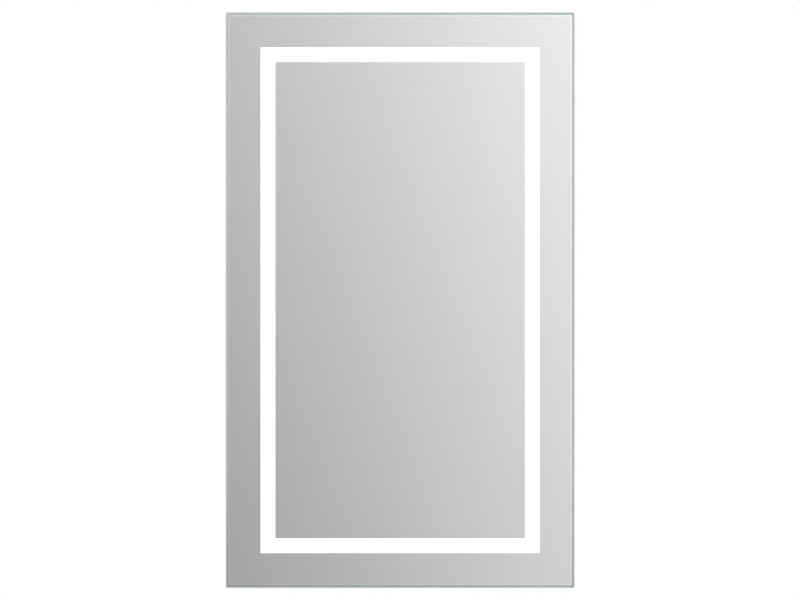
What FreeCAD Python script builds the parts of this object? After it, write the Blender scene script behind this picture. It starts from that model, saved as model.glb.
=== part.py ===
"""A lighted bathroom mirror that hangs on a wall.

A silvered glass pane has a frosted band set in from its edges. Behind the pane a frame of four mitred
extrusions makes a trough that follows the band, with a light board on its floor and an opal diffuser over
its mouth. A steel back cover closes the frame and carries the driver and the wiring box. The whole mirror
hooks over a rail that stays screwed to the wall, and a rocker switch sits under its lower edge.

Frame: X is the width, Z is up, and -Y is the front. The wall is the plane y = 0, and the origin is on it,
at the middle of the wall rail's line of screw holes. All sizes are millimetres.
"""
import FreeCAD, Part
import math
import os

V = FreeCAD.Vector
PARTS_FOLDER = "parts"
SIDES = ("top", "bottom", "left", "right")

# ---------------------------------------------------------------- driving dimensions
# glass pane
pane_width = 600.0
pane_height = 990.0
pane_thickness = 5.0
pane_corner_radius = 2.6       # seen from the front
pane_edge_radius = 2.2         # pencil-polished edge
frost_depth = 0.15             # sandblasted into the back of the glass
band_margin = 60.0             # pane edge to lit band
band_width = 25.0
silver_thickness = 0.1
silver_setback = 2.4           # pane edge to the silvering
tape_thickness = 0.9
tape_width = 15.0
tape_setback = 1.0             # frame's outer face to the tape

# frame extrusion
frame_inset = 35.0             # pane edge to the frame's outer face
frame_depth = 32.0
frame_wall = 1.5
frame_edge_radius = 0.7
rear_flange_width = 12.0
front_flange_width = 17.0
fin_thickness = 1.2
trough_overlap = 2.8           # how far the trough reaches past the lit band on each side
mitre_gap = 0.1
wall_stand_off = 2.0           # wall to the frame's rear edge

# diffuser
diffuser_thickness = 2.0
diffuser_clearance = 0.3       # diffuser to silvering
diffuser_leg = 4.0
diffuser_leg_wall = 1.0
diffuser_fit = 0.2

# back cover
cover_recess = 8.0             # frame's rear edge to the cover's rear face
cover_thickness = 1.0
cover_clearance = 0.5
cover_screw_inset = 6.0        # cover's edge to its screws
cover_level_screw_end = 17.5   # cover's corner to the first screw along the top and bottom
cover_upright_screw_end = 60.0
cover_upright_screws = 5
bead_width = 14.0
bead_depth = 2.0
bead_length = 300.0
bead_pitch = 105.0
bead_count = 4
bead_first_below_screws = 350.0
vent_width = 3.0
vent_length = 26.0
vent_pitch = 9.0
vent_count = 9
vent_row_above_bottom = 130.0
vent_row_offset = 105.0

# hanging rails, one on the wall and one on the mirror
hook_thickness = 2.0
hook_overlap = 14.0
hook_side_gap = 0.3
hook_tip_gap = 4.0
hook_wall_gap = 2.1
rail_end_inset = 80.0          # pane edge to the end of each hanging rail
hanger_flange = 24.0
hanger_below_flange_edge = 5.0  # frame's rear flange to the hanger's upper edge
hanger_screw_drop = 10.0
hanger_screw_end = 20.0        # rail's end to its first screw
hanger_screw_count = 5
wall_rail_plate = 30.0
wall_hole_radius = 2.75
wall_hole_end = 16.8           # rail's end to its outer holes, so that they match studs 406.4 apart
inner_hole_spacing = 150.0

# light boards
board_width = 12.0
board_thickness = 1.0
board_tape_thickness = 0.2
board_end_inset = 64.0         # pane edge to the end of an upright board
board_side_gap = 24.0          # upright board to the end of a level board
led_pitch = 50.0 / 3
led_length = 3.5
led_width = 2.8
led_height = 0.7
jumper_radius = 0.7
jumper_spacing = 5.0
jumper_overlap = 4.0           # how far a jumper lies over the end of a level board
solder_radius = 1.4
solder_height = 1.5
chip_gap = 0.5                 # least space between solder and the nearest diode
connector_wall = 1.5

# wiring box
box_middle_below_screws = 150.0
box_inner_width = 120.0
box_inner_height = 84.0
box_depth = 20.0
box_wall = 1.0
box_flange = 10.0
access_width = 96.0
access_height = 62.0
access_cover_thickness = 1.0
access_cover_margin = 1.5      # the cover plate stops this far inside the box flange
access_corner_radius = 4.0
access_screw_drop = 6.0        # box's inner edge to the access plate's screws
box_switch_lead_rise = 15.0    # above the box's middle
box_driver_lead_drop = 9.0     # below it
inlet_offset = -34.0           # cable inlet, across from the box's middle
inlet_bore_radius = 5.0
inlet_hole_radius = 8.0
inlet_lip_radius = 11.0
inlet_inner_lip_radius = 10.0
inlet_lip = 2.5
block_ways = 4
block_pitch = 12.0
block_length = 20.0
block_height = 15.0
block_offset = 16.0
block_corner_radius = 1.0
block_bore_height = 6.0        # box floor to the middle of the wire bores
block_bore_radius = 1.8
block_entry = 3.4              # square entries on the supply's side
block_screw_radius = 1.8
block_screw_length = 4.5
block_seat_depth = 4.0         # top of the block to the seats of its fixing screws
clamp_offset = -12.0
clamp_width = 10.0
clamp_bore_radius = 4.2
clamp_foot = 2.0
clamp_rim = 0.6                # clear space round the clamp's screw heads
link_reach = 5.0               # how far the block's link stands out of its side
earth_inset = 14.0             # box's left wall to the earth stud
earth_rise = 12.0              # above the box's lower wall
stud_radius = 2.0
stud_length = 8.0
stud_head_radius = 3.5
stud_head_height = 1.6
washer_radius = 4.5
washer_thickness = 0.8
nut_radius = 4.0
nut_height = 3.2

# driver
driver_middle_below_screws = 252.0
driver_length = 176.0
driver_width = 44.0
driver_height = 19.0
driver_wall = 1.5
driver_lip_fit = 0.2
driver_lip_wall = 1.2
driver_lip_height = 2.0
driver_ear = 9.0
driver_ear_width = 14.0
driver_ear_thickness = 2.5
driver_ear_radius = 4.0
driver_corner_radius = 3.0
driver_pillar_radius = 2.5
driver_pillar_inset = 4.0      # board's edge to the pillars' middles
driver_ear_offset = -10.0      # ears, down from the driver's middle line
driver_lead_offset = 6.0       # leads, up from it
driver_board_clearance = 5.0
driver_board_rise = 3.5
driver_board_thickness = 1.6
component_clearance = 0.8      # tallest component to the driver's lid
core_length = 26.0             # transformer's bobbin
core_width = 14.0
core_limb_length = 20.0
core_limb_width = 24.0
choke_size = 14.0
heat_sink_length = 22.0
heat_sink_thickness = 3.0
film_capacitor_length = 10.0
film_capacitor_thickness = 5.0
input_capacitor_radius = 5.0
output_capacitor_radius = 4.0
low_component_drop = 2.0       # how far the lower components stay under the tallest

# leads
lead_radius = 1.9
lead_height = 6.4              # back cover's inner face to the middle of a lead
lead_fit = 0.1
lead_tail = 2.0                # how far a lead reaches past what it enters
box_lead_tail = 6.0            # and inside the wiring box
core_radius = 0.9
core_gap = 0.05                # between two cores that leave one sheath
bend_share = 0.45              # the most of a run that a bend may take up
supply_lead_swing = 34.0       # how far past the driver's end its supply lead swings out
switch_lead_inset = 96.5       # pane edge to the switch lead's upright run, clear of the board's end
switch_lead_stop = 6.0         # its sheath's end to the nearer blade
switch_core_rise = 2.2         # how far one core steps over the nearer blade
bush_lip_radius = 4.6
bush_neck_radius = 3.3
bush_lip = 1.1
clip_wall = 1.2
clip_width = 6.0
clip_foot = 7.0
clip_foot_thickness = 1.0
clip_end = 60.0                # switch lead's bend to its first clip
clip_last = 40.0               # its last clip to the frame's web
clips_down = 5

# rocker switch
switch_inset = 140.0           # pane's right edge to the switch's middle
switch_bezel_rim = 1.1         # how far the bezel reaches past the body
switch_bezel_thickness = 2.0
switch_body_height = 12.0
switch_wall = 1.4
switch_cutout_fit = 0.15
rocker_length = 14.4
rocker_back_length = 12.4
rocker_width = 9.4
rocker_edge_radius = 0.45
rocker_tilt = 9.0              # degrees each way from the middle
rocker_rise = 4.0              # pivot to the rocker's face
rocker_pivot_height = 1.0      # frame's outer face to the pivot
rocker_gap = 0.35
rocker_pin_radius = 1.3
rocker_pin_length = 0.9
rocker_pin_fit = 0.06
terminal_width = 4.8
terminal_thickness = 0.8
terminal_length = 5.0
terminal_spacing = 8.0
terminal_inner_length = 1.0

# fasteners
m3_radius = 1.5
m3_head_radius = 2.9
m3_head_height = 2.0
m4_radius = 2.0
m4_head_radius = 3.9
m4_head_height = 2.5
thread_fit = 0.1
screw_tail = 1.0               # thread past the last piece that a screw goes through
screw_head_room = 0.3
corner_leg = 56.0
corner_width = 14.0
corner_thickness = 2.0
corner_setback = 1.0
corner_screw_first = 22.0      # bracket's corner to its screws, along each leg
corner_screw_second = 42.0
bumper_radius = 5.0
bumper_inset = 85.0            # pane edge to the bumpers' middles
tiny = 0.001

# ---------------------------------------------------------------- places worked out from the sizes
pane_rear = -(wall_stand_off + frame_depth + tape_thickness + silver_thickness)
pane_front = pane_rear - pane_thickness
frame_rear = -wall_stand_off
frame_front = frame_rear - frame_depth
cover_rear = frame_rear - cover_recess
cover_front = cover_rear - cover_thickness
web_front = cover_front - frame_wall
silver_rear = pane_rear + silver_thickness
diffuser_front = silver_rear + diffuser_clearance
diffuser_rear = diffuser_front + diffuser_thickness

trough_outer = band_margin - trough_overlap
trough_inner = band_margin + band_width + trough_overlap
trough_middle = (trough_outer + trough_inner) / 2
web_edge = trough_inner + fin_thickness
rear_flange_edge = frame_inset + rear_flange_width
cover_edge = rear_flange_edge + cover_clearance

hanger_top = rear_flange_edge + hanger_below_flange_edge
hook_seat = hanger_top + hanger_flange + hook_thickness
hook_tip = hook_seat + hook_overlap
wall_plate_top = hook_tip + hook_tip_gap
screw_line = wall_plate_top + wall_rail_plate / 2
rail_length = pane_width - 2 * rail_end_inset
hanger_screw_pitch = (rail_length - 2 * hanger_screw_end) / (hanger_screw_count - 1)
stud_spacing = rail_length - 2 * wall_hole_end
bumper_side = pane_width / 2 - bumper_inset

pane_top = screw_line
pane_bottom = pane_top - pane_height
pane_middle = pane_top - pane_height / 2

board_rear = web_front - board_tape_thickness
board_front = board_rear - board_thickness
led_front = board_front - led_height
level_board_half = (
    pane_width / 2 - trough_middle - board_width / 2 - board_side_gap
)
upright_board_half = pane_height / 2 - board_end_inset

box_middle = -box_middle_below_screws
box_floor = cover_front - box_depth
earth_x = earth_inset - box_inner_width / 2
driver_middle = -driver_middle_below_screws
lead_y = cover_front - lead_height
block_line = box_floor + box_wall + block_bore_height
driver_ear_line = driver_middle + driver_ear_offset
driver_lead_line = driver_middle + driver_lead_offset
supply_lead_reach = driver_length / 2 + supply_lead_swing
switch_lead_reach = pane_width / 2 - switch_lead_inset
clamp_screw_offset = clamp_bore_radius + clamp_foot + m3_head_radius + clamp_rim
clamp_span = 2 * (clamp_screw_offset + m3_head_radius + clamp_rim)

switch_face = pane_bottom + frame_inset
switch_middle = pane_width / 2 - switch_inset
rocker_corner = rocker_rise + math.tan(math.radians(rocker_tilt)) * rocker_length / 2
rocker_reach = (
    math.cos(math.radians(rocker_tilt)) * rocker_length / 2
    + math.sin(math.radians(rocker_tilt)) * rocker_corner
)
switch_well_length = 2 * (rocker_reach + rocker_gap)
switch_well_width = rocker_width + 2 * rocker_gap
switch_body_length = switch_well_length + 2 * switch_wall
switch_body_width = switch_well_width + 2 * switch_wall


# ---------------------------------------------------------------- building blocks
def box(x, y, z):
    """A box between two values on each axis."""
    (x0, x1), (y0, y1), (z0, z1) = sorted(x), sorted(y), sorted(z)
    return Part.makeBox(x1 - x0, y1 - y0, z1 - z0, V(x0, y0, z0))


def about(middle, size):
    """The two values that lie half a size each side of a middle."""
    return middle - size / 2, middle + size / 2


def rod(radius, start, direction, length):
    return Part.makeCylinder(radius, length, V(*start), V(*direction))


def prism(outline, y):
    """A flat outline of (x, z) points, drawn out between two depths."""
    y0, y1 = sorted(y)
    points = [V(x, y0, z) for x, z in outline]
    return Part.Face(Part.makePolygon(points + points[:1])).extrude(V(0, y1 - y0, 0))


def rounded(x, y, z, radius):
    """A box with its four edges along Y rounded."""
    solid = box(x, y, z)
    edges = [e for e in solid.Edges if abs(e.tangentAt(e.FirstParameter).y) > 0.99]
    return solid.makeFillet(radius, edges)


def slot_wire(middle_x, middle_z, length, width, y):
    """A closed outline with round ends, longer along X."""
    half = (length - width) / 2
    r = width / 2
    x0, x1 = middle_x - half, middle_x + half
    z0, z1 = middle_z - r, middle_z + r
    return Part.Wire([
        Part.LineSegment(V(x0, y, z0), V(x1, y, z0)).toShape(),
        Part.Arc(V(x1, y, z0), V(x1 + r, y, middle_z), V(x1, y, z1)).toShape(),
        Part.LineSegment(V(x1, y, z1), V(x0, y, z1)).toShape(),
        Part.Arc(V(x0, y, z1), V(x0 - r, y, middle_z), V(x0, y, z0)).toShape(),
    ])


def mitred_bar(side, u, y):
    """One side of a rectangular frame, between two insets from the pane's edge and two depths."""
    (u0, u1), half_w, half_h = sorted(u), pane_width / 2, pane_height / 2
    if side in ("top", "bottom"):
        along, across, sign = half_w, half_h, 1 if side == "top" else -1
    else:
        along, across, sign = half_h, half_w, 1 if side == "right" else -1
    shape = [
        (-(along - u0) + mitre_gap / 2, across - u0),
        (along - u0 - mitre_gap / 2, across - u0),
        (along - u1 - mitre_gap / 2, across - u1),
        (-(along - u1) + mitre_gap / 2, across - u1),
    ]
    if side in ("top", "bottom"):
        return prism([(a, pane_middle + sign * b) for a, b in shape], y)
    return prism([(sign * b, pane_middle + a) for a, b in shape], y)


def inset_box(u, y):
    """A box as large as the pane less an inset all round."""
    return box(about(0, pane_width - 2 * u), y, about(pane_middle, pane_height - 2 * u))


def from_edge(side, u, along):
    """The (x, z) point at an inset from one side of the pane, and along that side from its middle."""
    if side in ("top", "bottom"):
        sign = 1 if side == "top" else -1
        return along, pane_middle + sign * (pane_height / 2 - u)
    sign = 1 if side == "right" else -1
    return sign * (pane_width / 2 - u), pane_middle + along


def spread(count, pitch):
    """Evenly spaced values about zero."""
    return [(i - (count - 1) / 2) * pitch for i in range(count)]


def drill(solid, points, radius, y):
    """Cuts round holes along Y at (x, z) points."""
    y0, y1 = sorted(y)
    holes = [rod(radius, (px, y0, pz), (0, 1, 0), y1 - y0) for px, pz in points]
    return solid.cut(holes)


def cross_recess(width, thickness, depth, face):
    """A cross-shaped driver recess, cut down from the face at this height."""
    arms = [
        box(about(0, a), about(0, b), (face - depth, face + 1))
        for a, b in ((width, thickness), (thickness, width))
    ]
    return arms[0].fuse(arms[1])


def pan_screw(radius, head_radius, head_height, length):
    """A pan-head screw along Z, its head's seat at zero and its shank below."""
    head = Part.makeCylinder(head_radius, head_height)
    rim = [e for e in head.Edges if e.isClosed() and e.CenterOfMass.z > head_height / 2]
    head = head.makeFillet(head_height * 0.55, rim)
    arm_length, arm_width, depth = head_radius * 1.1, head_radius * 0.28, head_height * 0.6
    head = head.cut(cross_recess(arm_length, arm_width, depth, head_height))
    return head.fuse(rod(radius, (0, 0, -length), (0, 0, 1), length))


def m3_screw(*plates):
    """A small screw, long enough for the plates that it goes through."""
    return pan_screw(m3_radius, m3_head_radius, m3_head_height, sum(plates) + screw_tail)


def m4_screw(*plates):
    return pan_screw(m4_radius, m4_head_radius, m4_head_height, sum(plates) + screw_tail)


def place_screws(screw, points, seat, facing):
    """Copies of a screw at (x, z) points, its head's seat at a depth; facing is 1 to the wall, -1 away."""
    turn = FreeCAD.Rotation(V(0, 0, 1), V(0, facing, 0))
    placed = []
    for px, pz in points:
        one = screw.copy()
        one.Placement = FreeCAD.Placement(V(px, seat, pz), turn)
        placed.append(one)
    return placed


def lead(points, radius, bends):
    """A round lead: straight runs joined by tangent arcs, each of its bend radius or as large as fits."""
    points = [V(*p) for p in points]
    edges = []
    start = points[0]
    for before, corner, after, bend in zip(points, points[1:], points[2:], bends):
        a, b = (corner - before), (after - corner)
        turn = a.getAngle(b)
        room = bend_share * min(a.Length, b.Length)
        reach = min(bend * math.tan(turn / 2), room)
        radius_here = reach / math.tan(turn / 2)
        a, b = a.normalize(), b.normalize()
        first, last = corner - a * reach, corner + b * reach
        out = (b - a).normalize()
        middle = corner + out * (radius_here / math.cos(turn / 2) - radius_here)
        edges.append(Part.LineSegment(start, first).toShape())
        edges.append(Part.Arc(first, middle, last).toShape())
        start = last
    edges.append(Part.LineSegment(start, points[-1]).toShape())
    path = Part.Wire(edges)
    heading = (points[1] - points[0]).normalize()
    section = Part.Wire(Part.makeCircle(radius, points[0], heading))
    return path.makePipeShell([section], True, False)


def bush(middle, axis, plate, bore):
    """A rubber bush seated in a plate's hole, with a lip on each side and its bore along an axis."""
    direction = V(*axis)
    middle = V(*middle)
    total = plate + 2 * bush_lip

    def disc(radius, length):
        return Part.makeCylinder(radius, length, middle - direction * (length / 2), direction)

    lips = disc(bush_lip_radius, total)
    groove = disc(bush_lip_radius + 1, plate + 2 * lead_fit)
    neck = disc(bush_neck_radius - lead_fit, plate + 2 * lead_fit)
    return lips.cut(groove).fuse(neck).cut(disc(bore, total + 2)).removeSplitter()


# ---------------------------------------------------------------- glass
def glass_pane():
    """Float glass with round corners, a pencil-polished edge and the band sandblasted into its back."""
    blank = rounded(
        about(0, pane_width), (pane_front, pane_rear), about(pane_middle, pane_height), pane_corner_radius
    )
    rims = [e for e in blank.Edges if abs(e.BoundBox.YLength) < tiny]
    blank = blank.makeFillet(pane_edge_radius, rims)
    frosted = (pane_rear - frost_depth, pane_rear + 1)
    ring = inset_box(band_margin, frosted).cut(inset_box(band_margin + band_width, frosted))
    return blank.cut(ring)


def silvering_border():
    """Silver and paint on the back of the glass, outside the band."""
    return inset_box(silver_setback, (pane_rear, silver_rear)).cut(
        inset_box(band_margin, (pane_rear - 1, silver_rear + 1))
    )


def silvering_centre():
    """Silver and paint on the back of the glass, inside the band."""
    return inset_box(band_margin + band_width, (pane_rear, silver_rear))


def mounting_tape():
    """Four strips of foam tape that bond the silvered glass to the frame's front flange."""
    depth = (frame_front, silver_rear)
    u0 = frame_inset + tape_setback
    u1 = u0 + tape_width
    strips = []
    for side in ("top", "bottom"):
        z = sorted(from_edge(side, u, 0)[1] for u in (u0, u1))
        strips.append(box(about(0, pane_width - 2 * u0), depth, z))
    for side in ("left", "right"):
        x = sorted(from_edge(side, u, 0)[0] for u in (u0, u1))
        strips.append(box(x, depth, about(pane_middle, pane_height - 2 * u1 - 2 * tape_setback)))
    return strips


# ---------------------------------------------------------------- frame
def corner_screw_points():
    """Two screws in each leg of each corner bracket."""
    u = frame_inset + frame_wall + corner_setback + corner_width / 2
    points = []
    for sx in (-1, 1):
        for sz in (-1, 1):
            x = sx * (pane_width / 2 - u)
            z = pane_middle + sz * (pane_height / 2 - u)
            for step in (corner_screw_first - corner_width / 2, corner_screw_second - corner_width / 2):
                points.append((x - sx * step, z))
                points.append((x, z - sz * step))
    return points


def cover_screw_points():
    """Screws round the back cover, just inside the frame's rear flange."""
    u = cover_edge + cover_screw_inset
    level = pane_width / 2 - cover_edge - cover_level_screw_end
    upright = pane_height / 2 - cover_edge - cover_upright_screw_end
    points = [from_edge("top", u, s * level) for s in (-1, 1)]
    points += [from_edge("bottom", u, s) for s in (-level, -level / 3, level / 3, level)]
    for side in ("left", "right"):
        steps = spread(cover_upright_screws, 2 * upright / (cover_upright_screws - 1))
        points += [from_edge(side, u, s) for s in steps]
    return points


def hanger_screw_points():
    return [
        from_edge("top", hanger_top + hanger_screw_drop, s)
        for s in spread(hanger_screw_count, hanger_screw_pitch)
    ]


def frame_rail(side):
    """One mitred extrusion: outer wall, two flanges, and a web whose two fins form the light trough."""
    fin = (web_front, diffuser_rear)
    plates = [
        ((frame_inset, frame_inset + frame_wall), (frame_rear, frame_front)),
        ((frame_inset, rear_flange_edge), (frame_rear, frame_rear - frame_wall)),
        ((frame_inset, frame_inset + front_flange_width), (frame_front, frame_front + frame_wall)),
        ((frame_inset, web_edge), (cover_front, web_front)),
        ((trough_outer - fin_thickness, trough_outer), fin),
        ((trough_inner, web_edge), fin),
    ]
    bars = [mitred_bar(side, u, y) for u, y in plates]
    rail = bars[0].fuse(bars[1:]).removeSplitter()
    edges = [e for e in rail.Edges if on_outer_edge(e.BoundBox, side)]
    rail = rail.makeFillet(frame_edge_radius, edges)
    web = (cover_front + 1, web_front - 1)
    rail = drill(rail, corner_screw_points() + cover_screw_points(), m3_radius + thread_fit, web)
    if side == "top":
        rail = drill(rail, hanger_screw_points(), m4_radius + thread_fit, web)
    if side == "bottom":
        cutout = box(
            about(switch_middle, switch_body_length + 2 * switch_cutout_fit),
            about(switch_y(), switch_body_width + 2 * switch_cutout_fit),
            (switch_face - 1, switch_face + frame_wall + 1),
        )
        rail = rail.cut(cutout)
        for z in fin_middles():
            start = (switch_lead_reach, lead_y, z - fin_thickness)
            rail = rail.cut(rod(bush_neck_radius, start, (0, 0, 1), 2 * fin_thickness))
    if side == "left":
        start = (left_fin() - fin_thickness, lead_y, driver_lead_line)
        rail = rail.cut(rod(bush_neck_radius, start, (1, 0, 0), 2 * fin_thickness))
    return rail


def on_outer_edge(b, side):
    """Whether an edge with this bounding box runs along the frame's outer face, at its front or rear."""
    level = b.YLength < tiny and min(abs(b.YMin - frame_rear), abs(b.YMin - frame_front)) < tiny
    if side in ("left", "right"):
        face, low, high = pane_width / 2 - frame_inset, b.XMin, b.XMax
    else:
        face, low, high = pane_height / 2 - frame_inset, b.ZMin - pane_middle, b.ZMax - pane_middle
    return level and abs(abs(low) - face) < tiny and abs(abs(high) - face) < tiny


def switch_y():
    """The switch sits half way across the frame's depth, in front of the web."""
    return (web_front + frame_front + frame_wall) / 2


def fin_middles():
    """Where the switch lead crosses the lower rail's two fins."""
    return [pane_bottom + trough_outer - fin_thickness / 2, pane_bottom + trough_inner + fin_thickness / 2]


def left_fin():
    """The middle of the left rail's inner fin, where the light lead crosses it."""
    return -(pane_width / 2 - trough_inner - fin_thickness / 2)


def corner_bracket(sx, sz):
    """A steel angle in the pocket behind the front flange, screwed to the webs of two rails."""
    u0 = frame_inset + frame_wall + corner_setback
    x0, z0 = pane_width / 2 - u0, pane_height / 2 - u0
    x1, z1 = x0 - corner_width, z0 - corner_width
    x2, z2 = x0 - corner_leg, z0 - corner_leg
    outline = [(x0, z0), (x2, z0), (x2, z1), (x1, z1), (x1, z2), (x0, z2)]
    front = web_front - corner_thickness
    plate = prism([(sx * a, pane_middle + sz * b) for a, b in outline], (web_front, front))
    return drill(plate, corner_screw_points(), m3_radius + thread_fit, (web_front + 1, front - 1))


def diffuser(side):
    """An opal strip over the trough, with two legs that grip the fins."""
    legs_y = (diffuser_rear, diffuser_rear + diffuser_leg)
    outer = trough_outer + diffuser_fit
    inner = trough_inner - diffuser_fit
    bars = [
        mitred_bar(side, (trough_outer - fin_thickness, web_edge), (diffuser_front, diffuser_rear)),
        mitred_bar(side, (outer, outer + diffuser_leg_wall), legs_y),
        mitred_bar(side, (inner - diffuser_leg_wall, inner), legs_y),
    ]
    return bars[0].fuse(bars[1:]).removeSplitter()


# ---------------------------------------------------------------- lights
def board_half(side):
    return level_board_half if side in ("top", "bottom") else upright_board_half


def board_strip(side, width, y, half):
    """A straight strip along the middle of one side's trough."""
    x, z = from_edge(side, trough_middle, 0)
    if side in ("top", "bottom"):
        return box(about(x, 2 * half), y, about(z, width))
    return box(about(x, width), y, about(z, 2 * half))


def light_board(side):
    return board_strip(side, board_width, (board_rear, board_front), board_half(side))


def board_tape():
    return [
        board_strip(side, board_width - 1, (web_front, board_rear), board_half(side) - 1) for side in SIDES
    ]


def chip_margin(side):
    """The end of a board that is kept clear for the jumpers' solder."""
    if side in ("top", "bottom"):
        return jumper_overlap + solder_radius + chip_gap
    return trough_middle - board_end_inset + jumper_spacing / 2 + solder_radius + chip_gap


def light_chips(side):
    """Light-emitting diodes in a row down the board."""
    row = 2 * (board_half(side) - chip_margin(side)) - led_length
    count = int(row / led_pitch) + 1
    along_x = side in ("top", "bottom")
    sizes = (led_length, led_width) if along_x else (led_width, led_length)
    chips = []
    for step in spread(count, led_pitch):
        x, z = from_edge(side, trough_middle, step)
        if side == "left" and abs(z - driver_lead_line) < led_pitch / 2:
            continue
        chips.append(box(about(x, sizes[0]), (board_front, led_front), about(z, sizes[1])))
    return chips


def jumper_leads(lane):
    """Short straight wires, soldered down, that link each upright board to the level board beside it."""
    upright = pane_width / 2 - trough_middle - jumper_overlap / 2
    level = level_board_half - jumper_overlap
    y = board_front - jumper_radius
    wires = []
    for sx in (-1, 1):
        for side in ("top", "bottom"):
            z = from_edge(side, trough_middle, 0)[1] + lane * jumper_spacing / 2
            wire = rod(jumper_radius, (sx * level, y, z), (sx, 0, 0), upright - level)
            ends = [(sx * x, board_front, z) for x in (level, upright)]
            pads = [rod(solder_radius, end, (0, -1, 0), solder_height) for end in ends]
            wires.append(wire.fuse(pads).removeSplitter())
    return wires


def light_connector():
    """A small plug-in connector on the left board, where the driver's output lead arrives."""
    x, _ = from_edge("left", trough_middle, 0)
    front = lead_y - lead_radius - connector_wall
    width = 2 * (lead_radius + connector_wall)
    block = box(about(x, board_width - connector_wall), (board_front, front), about(driver_lead_line, width))
    entry = (x + board_width / 2, lead_y, driver_lead_line)
    return block.cut(rod(lead_radius + lead_fit, entry, (-1, 0, 0), board_width / 2))


# ---------------------------------------------------------------- back cover
def bead(middle_z):
    """The pressed-in groove and the ridge it leaves on the other face, as a pair of lofts."""
    slope = bead_depth
    groove = Part.makeLoft([
        slot_wire(0, middle_z, bead_length, bead_width, cover_rear),
        slot_wire(0, middle_z, bead_length - 2 * slope, bead_width - 2 * slope, cover_rear - bead_depth),
    ], True, True)
    ridge = Part.makeLoft([
        slot_wire(0, middle_z, bead_length, bead_width, cover_front),
        slot_wire(0, middle_z, bead_length - 2 * slope, bead_width - 2 * slope, cover_front - bead_depth),
    ], True, True)
    return groove, ridge


def vents(y):
    """Two columns of louvre slots near the cover's lower edge."""
    slots = []
    for side in (-1, 1):
        for step in spread(vent_count, vent_pitch):
            middle = pane_bottom + vent_row_above_bottom + step
            outline = slot_wire(side * vent_row_offset, middle, vent_length, vent_width, y[1])
            slots.append(Part.Face(outline).extrude(V(0, y[0] - y[1], 0)))
    return slots


def back_cover():
    """Powder-coated steel sheet with stiffening beads, vents and the wiring opening."""
    sheet = inset_box(cover_edge, (cover_rear, cover_front))
    for i in range(bead_count):
        groove, ridge = bead(-(bead_first_below_screws + i * bead_pitch))
        sheet = sheet.fuse(ridge).cut(groove)
    through = (cover_rear + 1, cover_front - 1)
    wide, high = about(0, access_width), about(box_middle, access_height)
    sheet = sheet.cut([rounded(wide, through, high, access_corner_radius)] + vents(through))
    sheet = drill(sheet, cover_screw_points() + access_screw_points(), m3_radius + thread_fit, through)
    return drill(sheet, hanger_screw_points() + driver_screw_points(), m4_radius + thread_fit, through)


def access_screw_points():
    """One screw at each corner of the wiring box's flange."""
    x = box_inner_width / 2 + box_wall + box_flange / 2
    z = box_inner_height / 2 - access_screw_drop
    return [(sx * x, box_middle + sz * z) for sx in (-1, 1) for sz in (-1, 1)]


def wiring_box():
    """A folded steel tray behind the back cover's opening, with a flange on two sides."""
    outer_width = box_inner_width + 2 * box_wall
    high = about(box_middle, box_inner_height + 2 * box_wall)
    outer = box(about(0, outer_width), (cover_front, box_floor), high)
    flange_front = cover_front - box_wall
    flange = box(about(0, outer_width + 2 * box_flange), (cover_front, flange_front), high)
    inner_depth = (cover_front + 1, box_floor + box_wall)
    inner = box(about(0, box_inner_width), inner_depth, about(box_middle, box_inner_height))
    tray = outer.fuse(flange).cut(inner).removeSplitter()
    tray = drill(tray, access_screw_points(), m3_radius + thread_fit, (cover_front + 1, flange_front - 1))
    floor = (box_floor - 1, box_floor + box_wall + 1)
    tray = drill(tray, clamp_screw_points() + block_screw_points(), m3_radius + thread_fit, floor)
    tray = drill(tray, [earth_point()], stud_radius + thread_fit, floor)
    for z in box_lead_heights():
        start = (box_inner_width / 2 - 1, lead_y, z)
        tray = tray.cut(rod(bush_neck_radius, start, (1, 0, 0), box_wall + 2))
    return tray


def box_lead_heights():
    """The switch lead leaves the box above the driver's supply lead."""
    return [box_middle + box_switch_lead_rise, box_middle - box_driver_lead_drop]


def access_plate():
    """The rear plate over the wiring opening, with the cable inlet's hole."""
    width = box_inner_width + 2 * box_wall + 2 * (box_flange - access_cover_margin)
    height = box_inner_height + 2 * box_wall - 2 * access_cover_margin
    depth = (cover_rear, cover_rear + access_cover_thickness)
    plate = rounded(about(0, width), depth, about(box_middle, height), access_corner_radius)
    through = (depth[0] - 1, depth[1] + 1)
    plate = drill(plate, access_screw_points(), m3_radius + thread_fit, through)
    return drill(plate, [(inlet_offset, box_middle)], inlet_hole_radius, through)


def inlet_grommet():
    """A rubber grommet that lines the cable inlet, with a lip on each face of the access plate."""
    plate_rear = cover_rear + access_cover_thickness
    low, high = cover_rear - inlet_lip, plate_rear + inlet_lip

    def disc(radius, y0, y1):
        return rod(radius, (inlet_offset, y0, box_middle), (0, 1, 0), y1 - y0)

    rear_lip = disc(inlet_lip_radius, plate_rear, high)
    rim = [e for e in rear_lip.Edges if e.isClosed() and abs(e.CenterOfMass.y - high) < tiny]
    rear_lip = rear_lip.makeFillet(inlet_lip / 2, rim)
    neck = disc(inlet_hole_radius - lead_fit, low, high)
    inner_lip = disc(inlet_inner_lip_radius, low, cover_rear)
    bore = disc(inlet_bore_radius, low - 1, high + 1)
    return neck.fuse([rear_lip, inner_lip]).cut(bore).removeSplitter()


# ---------------------------------------------------------------- inside the wiring box
def block_way_heights():
    return [box_middle + s for s in spread(block_ways, block_pitch)]


def block_screw_points():
    """Two fixing screws, between the block's outer ways."""
    return [(block_offset, box_middle + s) for s in (-block_pitch, block_pitch)]


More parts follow.
